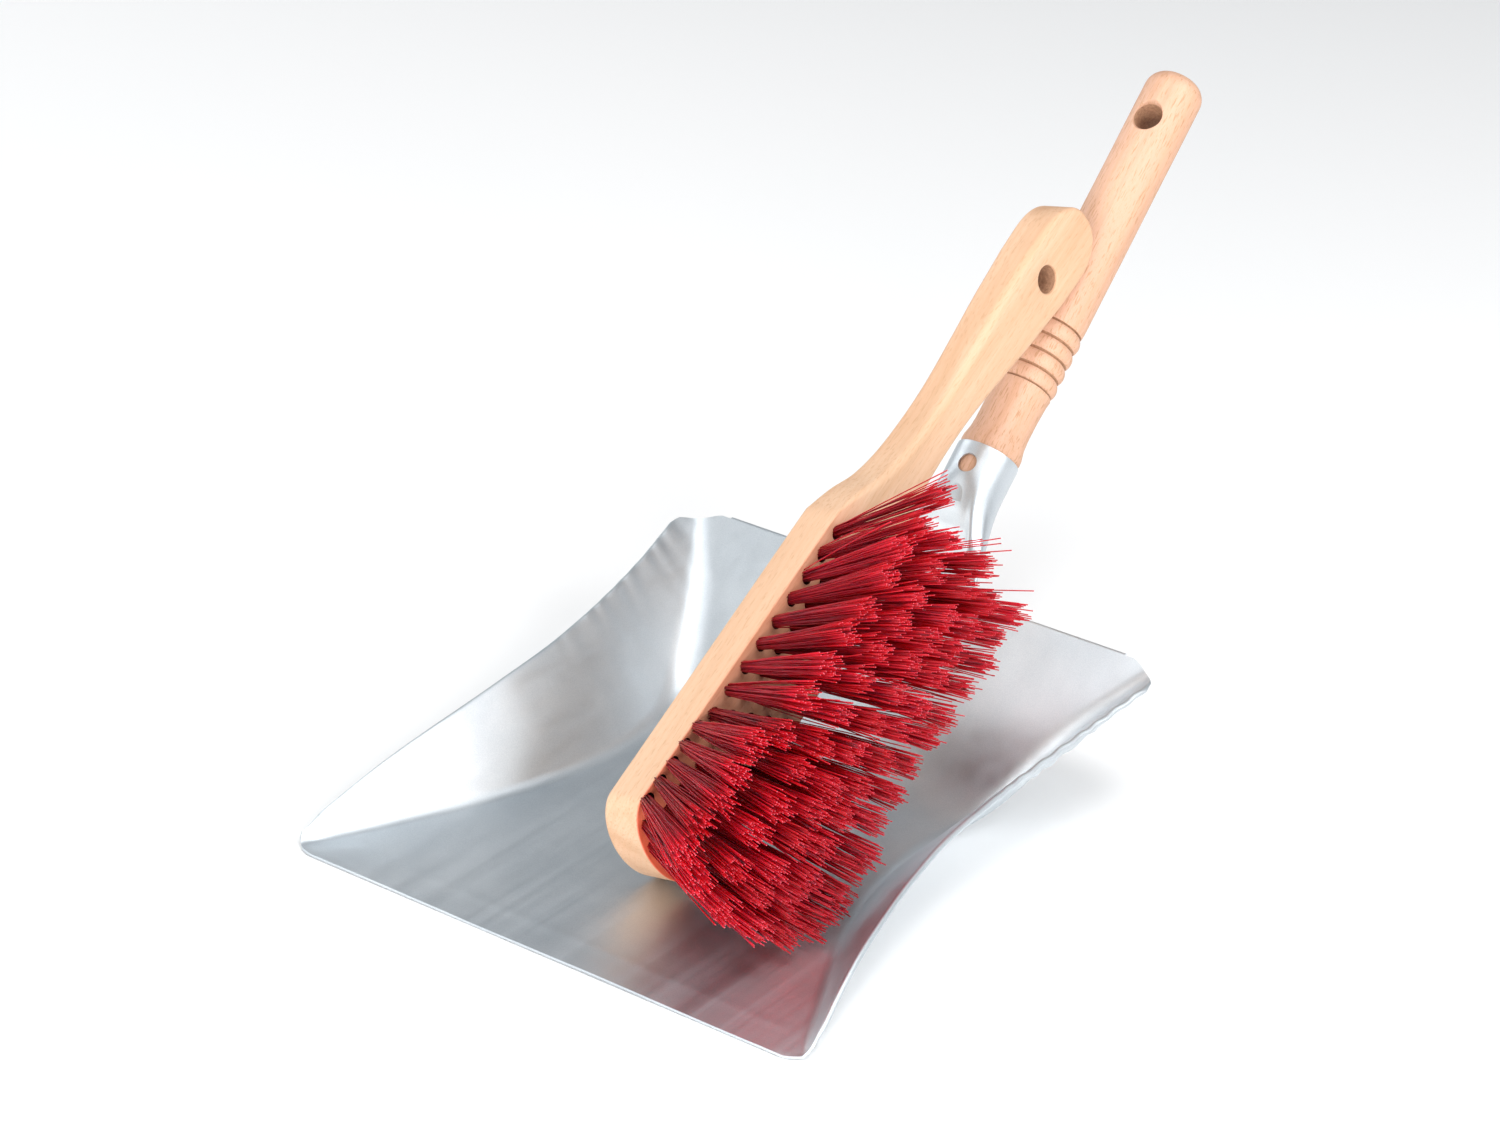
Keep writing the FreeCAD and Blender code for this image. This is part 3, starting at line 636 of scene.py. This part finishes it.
def hole_cutter(profile, distance, turns):
    """Cutter for a hole across the handle: (height, radius) pairs about the local Z axis."""
    upright = Matrix.Rotation(math.radians(-90), 4, "Y")
    place = HANDLE_PLACE @ Matrix.Translation((distance * MM, 0, 0)) @ upright
    return lathe("cutter", profile, place, turns)


def make_pan_handle():
    profile = list(HANDLE_START)
    for bead in range(BEAD_COUNT):
        for k in range(BEAD_STEPS + 1):
            across = k / BEAD_STEPS
            swell = math.sin(math.pi * across) ** 0.6
            at = BEAD_START + BEAD_PITCH * (bead + across)
            profile.append((at, mix(GROOVE_RADIUS, BEAD_RADIUS, swell)))
    beads_end = BEAD_START + BEAD_PITCH * BEAD_COUNT
    grip_start = beads_end + 4
    profile += [(beads_end + 0.4, 12.35), (beads_end + 1.6, 12.65), (grip_start, GRIP_RADIUS)]
    straight_end = HANDLE_LENGTH - HANDLE_END_ROUND
    for i in range(1, GRIP_STEPS + 1):
        at = mix(grip_start, straight_end, i / GRIP_STEPS)
        profile.append((at, GRIP_RADIUS + 0.1 * noise.noise(Vector((at / 30.0, 0, 0)))))
    for i in range(1, HANDLE_END_TURNS + 1):
        turn = math.radians(90 * i / HANDLE_END_TURNS)
        profile.append((straight_end + HANDLE_END_ROUND * math.sin(turn),
                        GRIP_RADIUS - HANDLE_END_ROUND * (1 - math.cos(turn))))
    profile.append((HANDLE_LENGTH, 0))
    piece = lathe("pan_handle_turned", profile, HANDLE_PLACE, HANDLE_TURNS)
    half = []
    for high in (HANDLE_HOLE_STRAIGHT, 11, 11.6, 12.2, 12.8, 14):
        half.append((high, HANDLE_HOLE + 0.22 * (high - HANDLE_HOLE_STRAIGHT) ** 2))
    cutter = [(-14, 0)] + [(-high, radius) for high, radius in reversed(half)] + half + [(14, 0)]
    carve(piece, hole_cutter(cutter, HANDLE_HOLE_AT, HANDLE_HOLE_TURNS))
    for face in piece.data.polygons:
        at = face.center / MM
        in_hole = math.hypot(at.x - HANDLE_HOLE_AT, at.y) < HANDLE_HOLE * 1.01
        beside_beads = BEAD_START - 0.5 < at.x < beads_end + 0.5
        if in_hole and abs(at.z) < HANDLE_HOLE_STRAIGHT + 0.2:
            face.material_index = 1
        elif beside_beads and math.hypot(at.y, at.z) < GROOVE_RADIUS + 0.5:
            face.material_index = 2
        else:
            face.material_index = 0
    shade_smooth(piece, 40)
    return piece


def make_rivets():
    """Dome-headed rivets through the back wall and the tongue."""
    points = []
    faces = []
    turns = 28
    grip = SHEET + TONGUE_THICK
    up = WALL_OUT.cross(X_AXIS)
    profile = [(-high - 0.02, RIVET_HEAD * share) for high, share in reversed(RIVET_DOME)]
    profile += [(0.3, RIVET_SHANK), (grip - 0.3, RIVET_SHANK)]
    profile += [(grip + 0.02 + high, RIVET_HEAD * share) for high, share in RIVET_DOME]
    for across, down in RIVETS:
        first = len(points)
        for depth, radius in profile:
            centre = on_back_wall(across, -down, depth)
            points += [centre + X_AXIS * (radius * c) + up * (radius * s) for c, s in around(turns)]
        add_tube(faces, first, len(profile), turns)
    piece = add_piece("rivets_domed", points, faces, PAN_PLACE)
    shade_smooth(piece, 50)
    return piece


# ---- The brush's wood ----
neck_half = smooth(BRUSH_NECK)


def wood_outline():
    """Upper half of the outline from the toe to the handle's end, as (along, half width)."""
    toe_steps, block_steps, neck_steps, grip_steps, end_steps = 24, 40, 70, 6, 30
    line = []
    for i in range(toe_steps + 1):
        turn = math.radians(90 * i / toe_steps)
        line.append((TOE_DEPTH * (1 - math.cos(turn)), BLOCK_HALF * math.sin(turn)))
    for i in range(1, block_steps + 1):
        line.append((mix(TOE_DEPTH, BLOCK_END, i / block_steps), BLOCK_HALF))
    neck_end = BRUSH_NECK[-1][0]
    for i in range(1, neck_steps + 1):
        along = mix(BLOCK_END, neck_end, i / neck_steps)
        line.append((along, neck_half(along)))
    grip_start = BRUSH_LENGTH - GRIP_END_DEPTH
    for i in range(1, grip_steps + 1):
        line.append((mix(neck_end, grip_start, i / grip_steps), GRIP_HALF))
    for i in range(1, end_steps + 1):
        turn = math.radians(90 * i / end_steps)
        line.append((grip_start + GRIP_END_DEPTH * math.sin(turn) ** GRIP_SQUARE,
                     GRIP_HALF * math.cos(turn) ** GRIP_SQUARE))
    return line


def tuft_rows():
    """Root positions (along, side) of every tuft, by the name of its row."""
    straight = [STRAIGHT_START + TUFT_PITCH * i for i in range(STRAIGHT_COUNT)]
    edge = [EDGE_START + EDGE_PITCH * i for i in range(EDGE_COUNT)]
    staggered = [STRAIGHT_START + TUFT_PITCH * (i + 0.5) for i in range(-TOE_COUNT, STRAIGHT_COUNT - 1)]
    middle = [STRAIGHT_START + TUFT_PITCH * i for i in range(-TOE_COUNT, STRAIGHT_COUNT)]
    rows = {}
    rows["tufts_near_row"] = [(s, OUTER_SIDE) for s in straight] + [(s, EDGE_SIDE) for s in edge]
    rows["tufts_near_inner_row"] = [(s, INNER_SIDE) for s in staggered]
    rows["tufts_middle_row"] = [(s, 0.0) for s in middle]
    rows["tufts_far_inner_row"] = [(s, -INNER_SIDE) for s in staggered]
    rows["tufts_far_row"] = [(s, -OUTER_SIDE) for s in straight] + [(s, -EDGE_SIDE) for s in edge]
    rows["tufts_toe_ring"] = []
    for turn in TOE_RING_TURNS:
        along = TOE_RING_AT - TOE_RING_REACH * math.cos(math.radians(turn))
        rows["tufts_toe_ring"].append((along, TOE_RING_HALF * math.sin(math.radians(turn))))
    return rows


def tuft_way(along, side):
    """Direction of a tuft in the brush's axes: the brush fans out to all its edges."""
    nearness = (side + EDGE_SIDE) / (2 * EDGE_SIDE)
    lean_along = mix(between(FAR_LEAN, along), between(NEAR_LEAN, along), nearness)
    lean_side = (NEAR_SPREAD if side > 0 else FAR_SPREAD) * side / OUTER_SIDE
    way = Vector((math.tan(math.radians(lean_along)), math.tan(math.radians(lean_side)), 1.0))
    return way.normalized()


def make_brush_wood():
    half = wood_outline()
    outline = half + [(along, -side) for along, side in reversed(half[1:-1])]
    count = len(outline)
    inward = []
    for i in range(count):
        before = Vector(outline[i - 1])
        after = Vector(outline[(i + 1) % count])
        run = (after - before).normalized()
        inward.append(Vector((run.y, -run.x)))
    points = []
    faces = []
    arc = 8

    def rounding(along, block_edge):
        on_grip = step(*GRIP_EDGE_SPAN, along)
        widest = mix(BLOCK_HALF, neck_half(along), step(BLOCK_END, BLOCK_END + 1, along))
        if along > BRUSH_NECK[-1][0]:
            widest = GRIP_HALF
        grip_edge = mix(GRIP_EDGE, GRIP_END_EDGE, step(*GRIP_END_SPAN, along))
        return min(mix(block_edge, grip_edge, on_grip), widest - 0.6)

    def add_ring(block_edge, share, from_face, towards):
        """One ring of the rounded edge: share runs from 0 at the face to 1 at the side."""
        turn = share * math.pi / 2
        for (along, side), way in zip(outline, inward):
            radius = rounding(along, block_edge)
            inset = radius * (1 - math.sin(turn))
            height = from_face + towards * radius * (1 - math.cos(turn))
            points.append((along + way.x * inset, side + way.y * inset, height))

    for k in range(arc + 1):
        add_ring(FACE_EDGE, k / arc, 0.0, -1)
    for k in range(arc, -1, -1):
        add_ring(BACK_EDGE, k / arc, -BRUSH_THICK, 1)
    ring_count = 2 * arc + 2
    add_tube(faces, 0, ring_count, count, capped=False)
    slots = [0] * len(faces)

    def add_circle(along, side, out, radius, turns):
        points.extend((along + radius * c, side + radius * s, out) for c, s in around(turns))
        return len(points) - turns

    def cap(ring_start, circles):
        """Fill a flat face, leaving the circles open. A circle is (first vertex, turns)."""
        numbers = list(range(ring_start, ring_start + count))
        edges = [(i, (i + 1) % count) for i in range(count)]
        centres = []
        for first, turns in circles:
            base = len(numbers)
            numbers += range(first, first + turns)
            edges += [(base + i, base + (i + 1) % turns) for i in range(turns)]
            centre = sum((Vector(points[first + i][:2]) for i in range(turns)), Vector((0, 0))) / turns
            centres.append((centre, (Vector(points[first][:2]) - centre).length))
        flat = [Vector(points[n][:2]) for n in numbers]
        found = delaunay_2d_cdt(flat, edges, [], 1, 1e-5)
        for triangle in found[2]:
            corners = [numbers[found[3][v][0]] for v in triangle]
            middle = sum((Vector(points[n][:2]) for n in corners), Vector((0, 0))) / 3
            if all((middle - centre).length > radius * 0.999 for centre, radius in centres):
                faces.append(tuple(corners))
                slots.append(0)

    face_circles = []
    for roots in tuft_rows().values():
        for along, side in roots:
            turns = TUFT_HOLE_TURNS
            way = tuft_way(along, side)
            first = add_circle(along, side, 0.0, TUFT_HOLE, turns)
            foot = Vector((along, side, 0)) - way * (TUFT_HOLE_DEPTH / way.z)
            second = add_circle(foot.x, foot.y, foot.z, TUFT_HOLE * 0.96, turns)
            face_circles.append((first, turns))
            # The hole's wall takes the second material, which is painted shade
            before = len(faces)
            bridge(faces, first, second, turns)
            faces.append(tuple(range(second, second + turns)))
            slots.extend([1] * (len(faces) - before))
    turns = BRUSH_HOLE_TURNS
    levels = [(-down, BRUSH_HOLE + more) for down, more in BRUSH_HOLE_EDGE]
    levels += [(-BRUSH_THICK + down, BRUSH_HOLE + more) for down, more in reversed(BRUSH_HOLE_EDGE)]
    starts = [add_circle(BRUSH_HOLE_AT, 0.0, out, radius, turns) for out, radius in levels]
    before = len(faces)
    for first, second in zip(starts, starts[1:]):
        bridge(faces, first, second, turns)
    walls = len(faces) - before
    edge_faces = turns * (len(BRUSH_HOLE_EDGE) - 1)
    slots.extend([0] * edge_faces + [2] * (walls - 2 * edge_faces) + [0] * edge_faces)
    cap(0, face_circles + [(starts[0], turns)])
    cap((ring_count - 1) * count, [(starts[-1], turns)])
    piece = add_piece("brush_wood", points, faces, BRUSH_PLACE, slots)
    shade_smooth(piece, 32)
    return piece


# ---- Bristles ----
BRUSH_TO_PAN = Matrix((ALONG, SIDE, OUT)).transposed()


def lifted_clear(point):
    """Raise a bristle's point that would touch the pan's sheet."""
    at = BRUSH_TO_PAN @ point + BRUSH_TOE
    if at.y < PAN_DEPTH and abs(at.x) < FRONT_HALF:
        short = pan_top(at.x, at.y) + CLEARANCE - at.z
        if short > 0:
            at.z += short
            return BRUSH_TO_PAN.transposed() @ (at - BRUSH_TOE)
    return point


def make_bristles(name, roots, chance):
    """One row of tufts, each a bundle of separate bristles that spread towards their cut ends."""
    points = []
    faces = []
    slots = []
    shades = []
    sides = STRAND_SIDES
    rings = len(STRAND_SHARES)
    for along, side in roots:
        way = tuft_way(along, side)
        first_way = way.cross(Y_AXIS).normalized()
        second_way = way.cross(first_way)
        tuft_shade = chance.random()
        tuft_lean = Vector((chance.gauss(0, WANDER), chance.gauss(0, WANDER), 0))
        heel = step(*HEEL_SPAN, along)
        widest = between(TUFT_TIP, along)
        for strand in range(STRANDS):
            turn = strand * GOLDEN_ANGLE + chance.uniform(-0.3, 0.3)
            root_reach = TUFT_ROOT * math.sqrt((strand + 0.5) / STRANDS)
            tip_reach = root_reach / TUFT_ROOT * widest * chance.uniform(0.8, 1.15)
            outwards = first_way * math.cos(turn) + second_way * math.sin(turn)
            length = (TUFT_HEIGHT + chance.gauss(0, LENGTH_SPREAD)) / way.z + ROOT_DEPTH
            wander = Vector((chance.gauss(0, WANDER), chance.gauss(0, WANDER), 0)) + tuft_lean
            if chance.random() < STRAY_CHANCE + STRAY_CHANCE_HEEL * heel:
                astray = chance.gauss(STRAY_LEAN_HEEL * heel, STRAY_WANDER)
                wander += Vector((astray, chance.gauss(0, STRAY_WANDER), 0))
            bend = Vector((chance.gauss(0, BEND), chance.gauss(0, BEND), 0))
            line = []
            for share in STRAND_SHARES:
                reach = mix(root_reach, tip_reach, share)
                point = Vector((along, side, -ROOT_DEPTH)) + way * (share * length)
                point += outwards * reach + wander * share + bend * math.sin(math.pi * share)
                line.append(lifted_clear(point))
            shade = 0.6 * chance.random() + 0.4 * tuft_shade
            first = len(points)
            for k, point in enumerate(line):
                heading = (line[min(k + 1, rings - 1)] - line[max(k - 1, 0)]).normalized()
                flat = heading.cross(Y_AXIS).normalized()
                other = heading.cross(flat)
                for i in range(sides):
                    turn = TURN * (i + 0.5 * (strand % 2)) / sides
                    ring = flat * math.cos(turn) + other * math.sin(turn)
                    points.append(point + ring * STRAND_RADIUS)
                    shades.append(shade)
            add_tube(faces, first, rings, sides, capped=False)
            slots += [0] * (sides * (rings - 1))
            # Root cap, then the cut end; the cut end takes the second material, with its painted glint
            faces.append(tuple(range(first + sides - 1, first - 1, -1)))
            faces.append(tuple(range(len(points) - sides, len(points))))
            slots += [0, 1]
    placed = [BRUSH_TO_PAN @ point + BRUSH_TOE for point in points]
    piece = add_piece(name.replace("tufts", "bristles"), placed, faces, PAN_PLACE, slots, tidy=False)
    tint = piece.data.attributes.new("shade", "FLOAT", "POINT")
    tint.data.foreach_set("value", shades)
    smooth_faces = [slot == 0 for slot in slots]
    piece.data.polygons.foreach_set("use_smooth", smooth_faces)
    return piece


# ---- Materials ----
ZINC = [(0.3, (0.55, 0.60, 0.64)), (0.7, (0.71, 0.75, 0.78))]
ZINC_GRAIN = [(0.35, (0.25, 0.27, 0.29)), (0.65, (1.0, 1.0, 1.0))]
STEEL = [(0.3, (0.34, 0.35, 0.37)), (0.7, (0.58, 0.60, 0.62))]
# Three shades of each wood, from its dark streaks to its light ones
TURNED_SHADES = [(0.58, 0.33, 0.22), (0.71, 0.435, 0.31), (0.77, 0.505, 0.37)]
PLAIN_SHADES = [(0.61, 0.37, 0.215), (0.71, 0.465, 0.30), (0.77, 0.53, 0.36)]
RING_BROWN = (0.66, 0.36, 0.19)
SHADE_BROWN = (0.72, 0.37, 0.20)
FLECK_BROWN = (0.50, 0.25, 0.12)
PORE_BROWN = (0.60, 0.34, 0.19)
# Painted red bounce light from the bristles, laid on the bristle face
PAINTED_BOUNCE_RED = (0.74, 0.10, 0.04)


def new_material(name):
    material = bpy.data.materials.new(name)
    material.use_nodes = True
    tree = material.node_tree
    return material, tree, tree.nodes["Principled BSDF"]


def set_inputs(node, values):
    """Give a node's inputs plain values or links, by the inputs' names."""
    for name, value in values.items():
        socket = node.inputs[name]
        if isinstance(value, bpy.types.NodeSocket):
            node.id_data.links.new(value, socket)
        elif socket.type == "RGBA":
            socket.default_value = (*value, 1.0)
        else:
            socket.default_value = value


def place_texture(tree, scale, shift=(0, 0, 0)):
    """Object coordinates stretched by the given scale and moved."""
    coordinates = tree.nodes.new("ShaderNodeTexCoord").outputs["Object"]
    mapping = tree.nodes.new("ShaderNodeMapping")
    set_inputs(mapping, {"Vector": coordinates, "Scale": scale, "Location": shift})
    return mapping.outputs["Vector"]


def add_noise(tree, stretch, detail=4.0, roughness=0.5, distortion=0.0):
    """Noise with a scale of its own along each axis, or one scale for all."""
    alike = not isinstance(stretch, tuple)
    texture = tree.nodes.new("ShaderNodeTexNoise")
    set_inputs(texture, {"Vector": place_texture(tree, (1, 1, 1) if alike else stretch),
                         "Scale": stretch if alike else 1.0,
                         "Detail": detail, "Roughness": roughness, "Distortion": distortion})
    return texture.outputs["Fac"]


def add_ramp(tree, value, stops):
    """Colour ramp: stops are (position, colour)."""
    ramp = tree.nodes.new("ShaderNodeValToRGB")
    elements = ramp.color_ramp.elements
    while len(elements) < len(stops):
        elements.new(0.5)
    for element, (position, colour) in zip(elements, stops):
        element.position = position
        element.color = (*colour, 1.0)
    set_inputs(ramp, {"Fac": value})
    return ramp.outputs["Color"]


def add_range(tree, value, low, high, to_low, to_high):
    node = tree.nodes.new("ShaderNodeMapRange")
    set_inputs(node, {"Value": value, "From Min": low, "From Max": high,
                      "To Min": to_low, "To Max": to_high})
    return node.outputs["Result"]


def add_mix(tree, share, first, second, blend="MIX"):
    """Mix two colours. share, first and second are links or plain values."""
    node = tree.nodes.new("ShaderNodeMix")
    node.data_type = "RGBA"
    node.blend_type = blend
    set_inputs(node, {0: share, 6: first, 7: second})
    return node.outputs[2]


def add_bump(tree, shader, height, strength, distance, below=None):
    node = tree.nodes.new("ShaderNodeBump")
    set_inputs(node, {"Height": height, "Strength": strength, "Distance": distance})
    if below:
        set_inputs(node, {"Normal": below})
    set_inputs(shader, {"Normal": node.outputs["Normal"]})
    return node.outputs["Normal"]


def galvanised_material():
    """Zinc-coated sheet: soft grey-blue metal with cloudy colour, fine grain and light scratches."""
    material, tree, shader = new_material("galvanised_sheet")
    patch = add_ramp(tree, add_noise(tree, 14.0, 5.0, 0.55, 0.3), ZINC)
    grain = add_noise(tree, 2600.0, 2.0, 0.6)
    speckled = add_mix(tree, 0.22, patch, add_ramp(tree, grain, ZINC_GRAIN), "SOFT_LIGHT")
    rolled = add_noise(tree, (160, 4, 160), 4.0, 0.6)
    rough = add_range(tree, rolled, 0.3, 0.7, 0.42, 0.52)
    set_inputs(shader, {"Base Color": speckled, "Metallic": 1.0, "Roughness": rough})
    scratch = add_noise(tree, (9, 240, 60), 3.0, 0.7, 0.6)
    fine = add_bump(tree, shader, grain, 0.10, 0.0003)
    add_bump(tree, shader, scratch, 0.10, 0.0004, fine)
    return material


def rivet_material():
    material, tree, shader = new_material("rivet_steel")
    cloud = add_noise(tree, 420.0)
    rough = add_range(tree, cloud, 0.3, 0.7, 0.28, 0.45)
    set_inputs(shader, {"Base Color": add_ramp(tree, cloud, STEEL), "Metallic": 1.0, "Roughness": rough})
    add_bump(tree, shader, add_noise(tree, 1900.0), 0.15, 0.0003)
    return material


def painted_red_bounce(tree, colour):
    """Painted red bounce light on the bristle face, strongest round the toe: the wood is tinted where
    light through and off the red bristles would fall on it.
    """
    parts = tree.nodes.new("ShaderNodeSeparateXYZ")
    set_inputs(parts, {"Vector": place_texture(tree, (1, 1, 1))})
    on_face = add_range(tree, parts.outputs["Z"], -0.7 * MM, -0.1 * MM, 0.0, 1.0)
    near_toe = add_range(tree, parts.outputs["X"], 0.0, 60.0 * MM, 0.95, 0.30)
    on_block = add_range(tree, parts.outputs["X"], 145.0 * MM, 175.0 * MM, 1.0, 0.0)
    share = near_toe
    for more in (on_face, on_block):
        product = tree.nodes.new("ShaderNodeMath")
        product.operation = "MULTIPLY"
        set_inputs(product, {0: share, 1: more})
        share = product.outputs[0]
    return add_mix(tree, share, colour, PAINTED_BOUNCE_RED)


def wood_material(name, turned, colours):
    """Pale beech along the local X axis: streaks, short dark flecks and, if turned, fine tool marks."""
    material, tree, shader = new_material(name)
    streak = add_noise(tree, (7, 150, 90), 5.0, 0.55, 0.4)
    colour = add_ramp(tree, streak, list(zip((0.28, 0.5, 0.72), colours)))
    growth = tree.nodes.new("ShaderNodeTexWave")
    growth.wave_type = "RINGS"
    growth.rings_direction = "X"
    set_inputs(growth, {"Vector": place_texture(tree, (0.25, 1, 1), (0, 0.045, -0.060)), "Scale": 120.0,
                        "Distortion": 3.0, "Detail": 2.0, "Detail Scale": 0.4})
    ring_share = add_range(tree, growth.outputs["Fac"], 0.55, 1.0, 0.0, 0.22)
    colour = add_mix(tree, ring_share, colour, RING_BROWN)
    broad = add_noise(tree, (4, 30, 30), 3.0)
    colour = add_mix(tree, add_range(tree, broad, 0.35, 0.7, 0.0, 0.35), colour, SHADE_BROWN)
    fleck = add_noise(tree, (190, 1500, 1100), 2.0)
    fleck_share = add_range(tree, fleck, 0.56, 0.68, 0.0, 0.75 if turned else 0.4)
    colour = add_mix(tree, fleck_share, colour, FLECK_BROWN)
    pore = add_noise(tree, (420, 3600, 3600), 2.0, 0.6)
    pore_share = add_range(tree, pore, 0.52, 0.70, 0.0, 0.6 if turned else 0.2)
    colour = add_mix(tree, pore_share, colour, PORE_BROWN)
    # The bristle face gets painted red bounce light from the bristles.
    if not turned:
        colour = painted_red_bounce(tree, colour)
    set_inputs(shader, {"Base Color": colour, "Roughness": add_range(tree, streak, 0.3, 0.7, 0.50, 0.66)})
    grain = add_noise(tree, (30, 1300, 1300), 4.0, 0.6)
    fine = add_bump(tree, shader, grain, 0.22, 0.0003)
    if turned:
        tool_marks = add_noise(tree, (2300, 8, 8), 2.0, 0.6)
        fine = add_bump(tree, shader, tool_marks, 0.22, 0.0003, fine)
    add_bump(tree, shader, fleck, 0.12, 0.0002, fine)
    return material


def hole_material(name, dark, light):
    """Darker wood colour on the walls of holes and in grooves; the near-black one for the tuft holes is
    painted shade.
    """
    material, tree, shader = new_material(name)
    char = add_noise(tree, 900.0)
    colour = add_ramp(tree, char, [(0.3, dark), (0.7, light)])
    set_inputs(shader, {"Base Color": colour, "Roughness": add_range(tree, char, 0.3, 0.7, 0.7, 0.85)})
    add_bump(tree, shader, char, 0.3, 0.0004)
    return material


def bristle_material(name, low, high, roughness, see_through):
    """Dyed plastic bristles, each with a shade of its own."""
    material, tree, shader = new_material(name)
    own = tree.nodes.new("ShaderNodeAttribute")
    own.attribute_name = "shade"
    colour = add_ramp(tree, own.outputs["Fac"], [(0.1, low), (0.9, high)])
    along = add_noise(tree, 160.0, 3.0)
    colour = add_mix(tree, add_range(tree, along, 0.4, 0.7, 0.0, 0.35), colour, low)
    set_inputs(shader, {"Base Color": colour,
                        "Roughness": add_range(tree, along, 0.3, 0.7, roughness, roughness + 0.12),
                        "Subsurface Weight": see_through,
                        "Subsurface Radius": (1.0, 0.06, 0.08),
                        "Subsurface Scale": 0.006,
                        "Specular IOR Level": 0.25})
    add_bump(tree, shader, add_noise(tree, 3000.0), 0.1, 0.0002)
    return material


# ---- Put the pieces together ----
galvanised = galvanised_material()
rivet_steel = rivet_material()
turned_beech = wood_material("turned_beech", True, TURNED_SHADES)
plain_beech = wood_material("plain_beech", False, PLAIN_SHADES)
# The tuft holes' near-black walls are painted shade inside the holes
tuft_hole_painted_shade = hole_material("tuft_hole_painted_shade", (0.09, 0.022, 0.012), (0.22, 0.06, 0.03))
hole_wood = hole_material("hanging_hole_wood", (0.32, 0.16, 0.09), (0.52, 0.30, 0.18))
groove_wood = hole_material("groove_wood", (0.34, 0.17, 0.09), (0.50, 0.28, 0.17))
bristle_red = bristle_material("bristle_red", (0.26, 0.002, 0.007), (0.52, 0.0065, 0.022), 0.38, 0.85)
# The lighter pink on the bristles' cut ends is a painted glint of light
bristle_ends_painted_glint = bristle_material("bristle_ends_painted_glint", (0.42, 0.010, 0.025), (0.80, 0.15, 0.20), 0.3, 0.0)


def finish_piece(piece, body, nodes, materials):
    for material in materials:
        piece.data.materials.append(material)
    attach(piece, body)
    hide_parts(*nodes)


finish_piece(make_pan_sheet(), "pan", ["pan_sheet"], [galvanised])
finish_piece(make_socket(), "pan", ["handle_socket"], [galvanised])
finish_piece(make_rivets(), "pan", ["socket_rivets"], [rivet_steel])
finish_piece(make_pan_handle(), "pan", ["pan_handle"], [turned_beech, hole_wood, groove_wood])
finish_piece(make_brush_wood(), "brush", ["brush_block"], [plain_beech, tuft_hole_painted_shade, hole_wood])
chance = random.Random(BRISTLE_SEED)
for row_name, row_roots in tuft_rows().items():
    row = make_bristles(row_name, row_roots, chance)
    finish_piece(row, "brush", [row_name], [bristle_red, bristle_ends_painted_glint])

for node_name in ("handle_screw", "tuft_anchors"):
    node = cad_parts[node_name]
    node.data.materials.clear()
    node.data.materials.append(rivet_steel)

# ---- Floor, light and camera ----
scene = bpy.context.scene


def make_floor():
    half = 6.0
    mesh = bpy.data.meshes.new("studio_floor")
    corners = [(-half, -half, 0), (half, -half, 0), (half, half, 0), (-half, half, 0)]
    mesh.from_pydata(corners, [], [(0, 1, 2, 3)])
    floor = bpy.data.objects.new("studio_floor", mesh)
    scene.collection.objects.link(floor)
    floor.location.z = -0.0005
    material, _, shader = new_material("studio_floor")
    set_inputs(shader, {"Base Color": (0.97, 0.97, 0.97), "Roughness": 0.85, "Specular IOR Level": 0.1})
    mesh.materials.append(material)


def add_light(name, place, aim, size, power, colour=(1.0, 1.0, 1.0)):
    data = bpy.data.lights.new(name, "AREA")
    data.shape = "RECTANGLE"
    data.size, data.size_y = size
    data.energy = power
    data.color = colour
    light = bpy.data.objects.new(name, data)
    scene.collection.objects.link(light)
    light.location = place
    light.rotation_mode = "QUATERNION"
    light.rotation_quaternion = (Vector(aim) - Vector(place)).to_track_quat("-Z", "Y")


make_floor()
world = bpy.data.worlds.new("studio")
scene.world = world
world.use_nodes = True
set_inputs(world.node_tree.nodes["Background"], {"Color": (0.94, 0.97, 1.0), "Strength": 0.36})
add_light("key_softbox", (-1.2, -2.15, 0.85), (0, 0, 0.05), (0.9, 0.9), 14.0, (1.0, 0.99, 0.97))
add_light("top_softbox", (0.55, -0.15, 2.2), (0, 0.2, 0), (1.0, 0.9), 17.0)
add_light("near_softbox", (-0.22, -0.27, 1.0), (0, 0, 0.05), (0.36, 0.36), 1.2)
add_light("front_softbox", (0.75, -1.9, 0.36), (0, 0, 0.08), (1.4, 0.56), 32.0)
add_light("right_softbox", (1.66, -0.05, 1.15), (0, 0, 0.05), (1.2, 0.9), 20.0)
add_light("left_softbox", (-1.75, 0.15, 1.0), (0, 0, 0.05), (0.9, 0.7), 7.0)

CAMERA_AZIMUTH = math.radians(34.0)
CAMERA_ELEVATION = math.radians(25.9)
CAMERA_ROLL = math.radians(3.01)
CAMERA_AIM = Vector((-83.0, 250.0 + FRONT_EDGE, 40.0)) * MM
CAMERA_DISTANCE = 1.677
CAMERA_LENS = 96.0
right = Vector((math.cos(CAMERA_AZIMUTH), math.sin(CAMERA_AZIMUTH), 0.0))
level_back = Vector((math.sin(CAMERA_AZIMUTH), -math.cos(CAMERA_AZIMUTH), 0.0))
back = level_back * math.cos(CAMERA_ELEVATION) + Vector((0, 0, math.sin(CAMERA_ELEVATION)))
up = back.cross(right)
rolled_right = right * math.cos(CAMERA_ROLL) + up * math.sin(CAMERA_ROLL)
rolled_up = up * math.cos(CAMERA_ROLL) - right * math.sin(CAMERA_ROLL)
camera_data = bpy.data.cameras.new("camera")
camera_data.lens = CAMERA_LENS
camera_data.sensor_width = 36.0
camera_data.clip_start = 0.1
camera_data.clip_end = 20.0
camera = bpy.data.objects.new("camera", camera_data)
scene.collection.objects.link(camera)
turn = Matrix((rolled_right, rolled_up, back)).transposed().to_4x4()
camera.matrix_world = Matrix.Translation(CAMERA_AIM + back * CAMERA_DISTANCE) @ turn
scene.camera = camera
scene.view_settings.view_transform = "Standard"
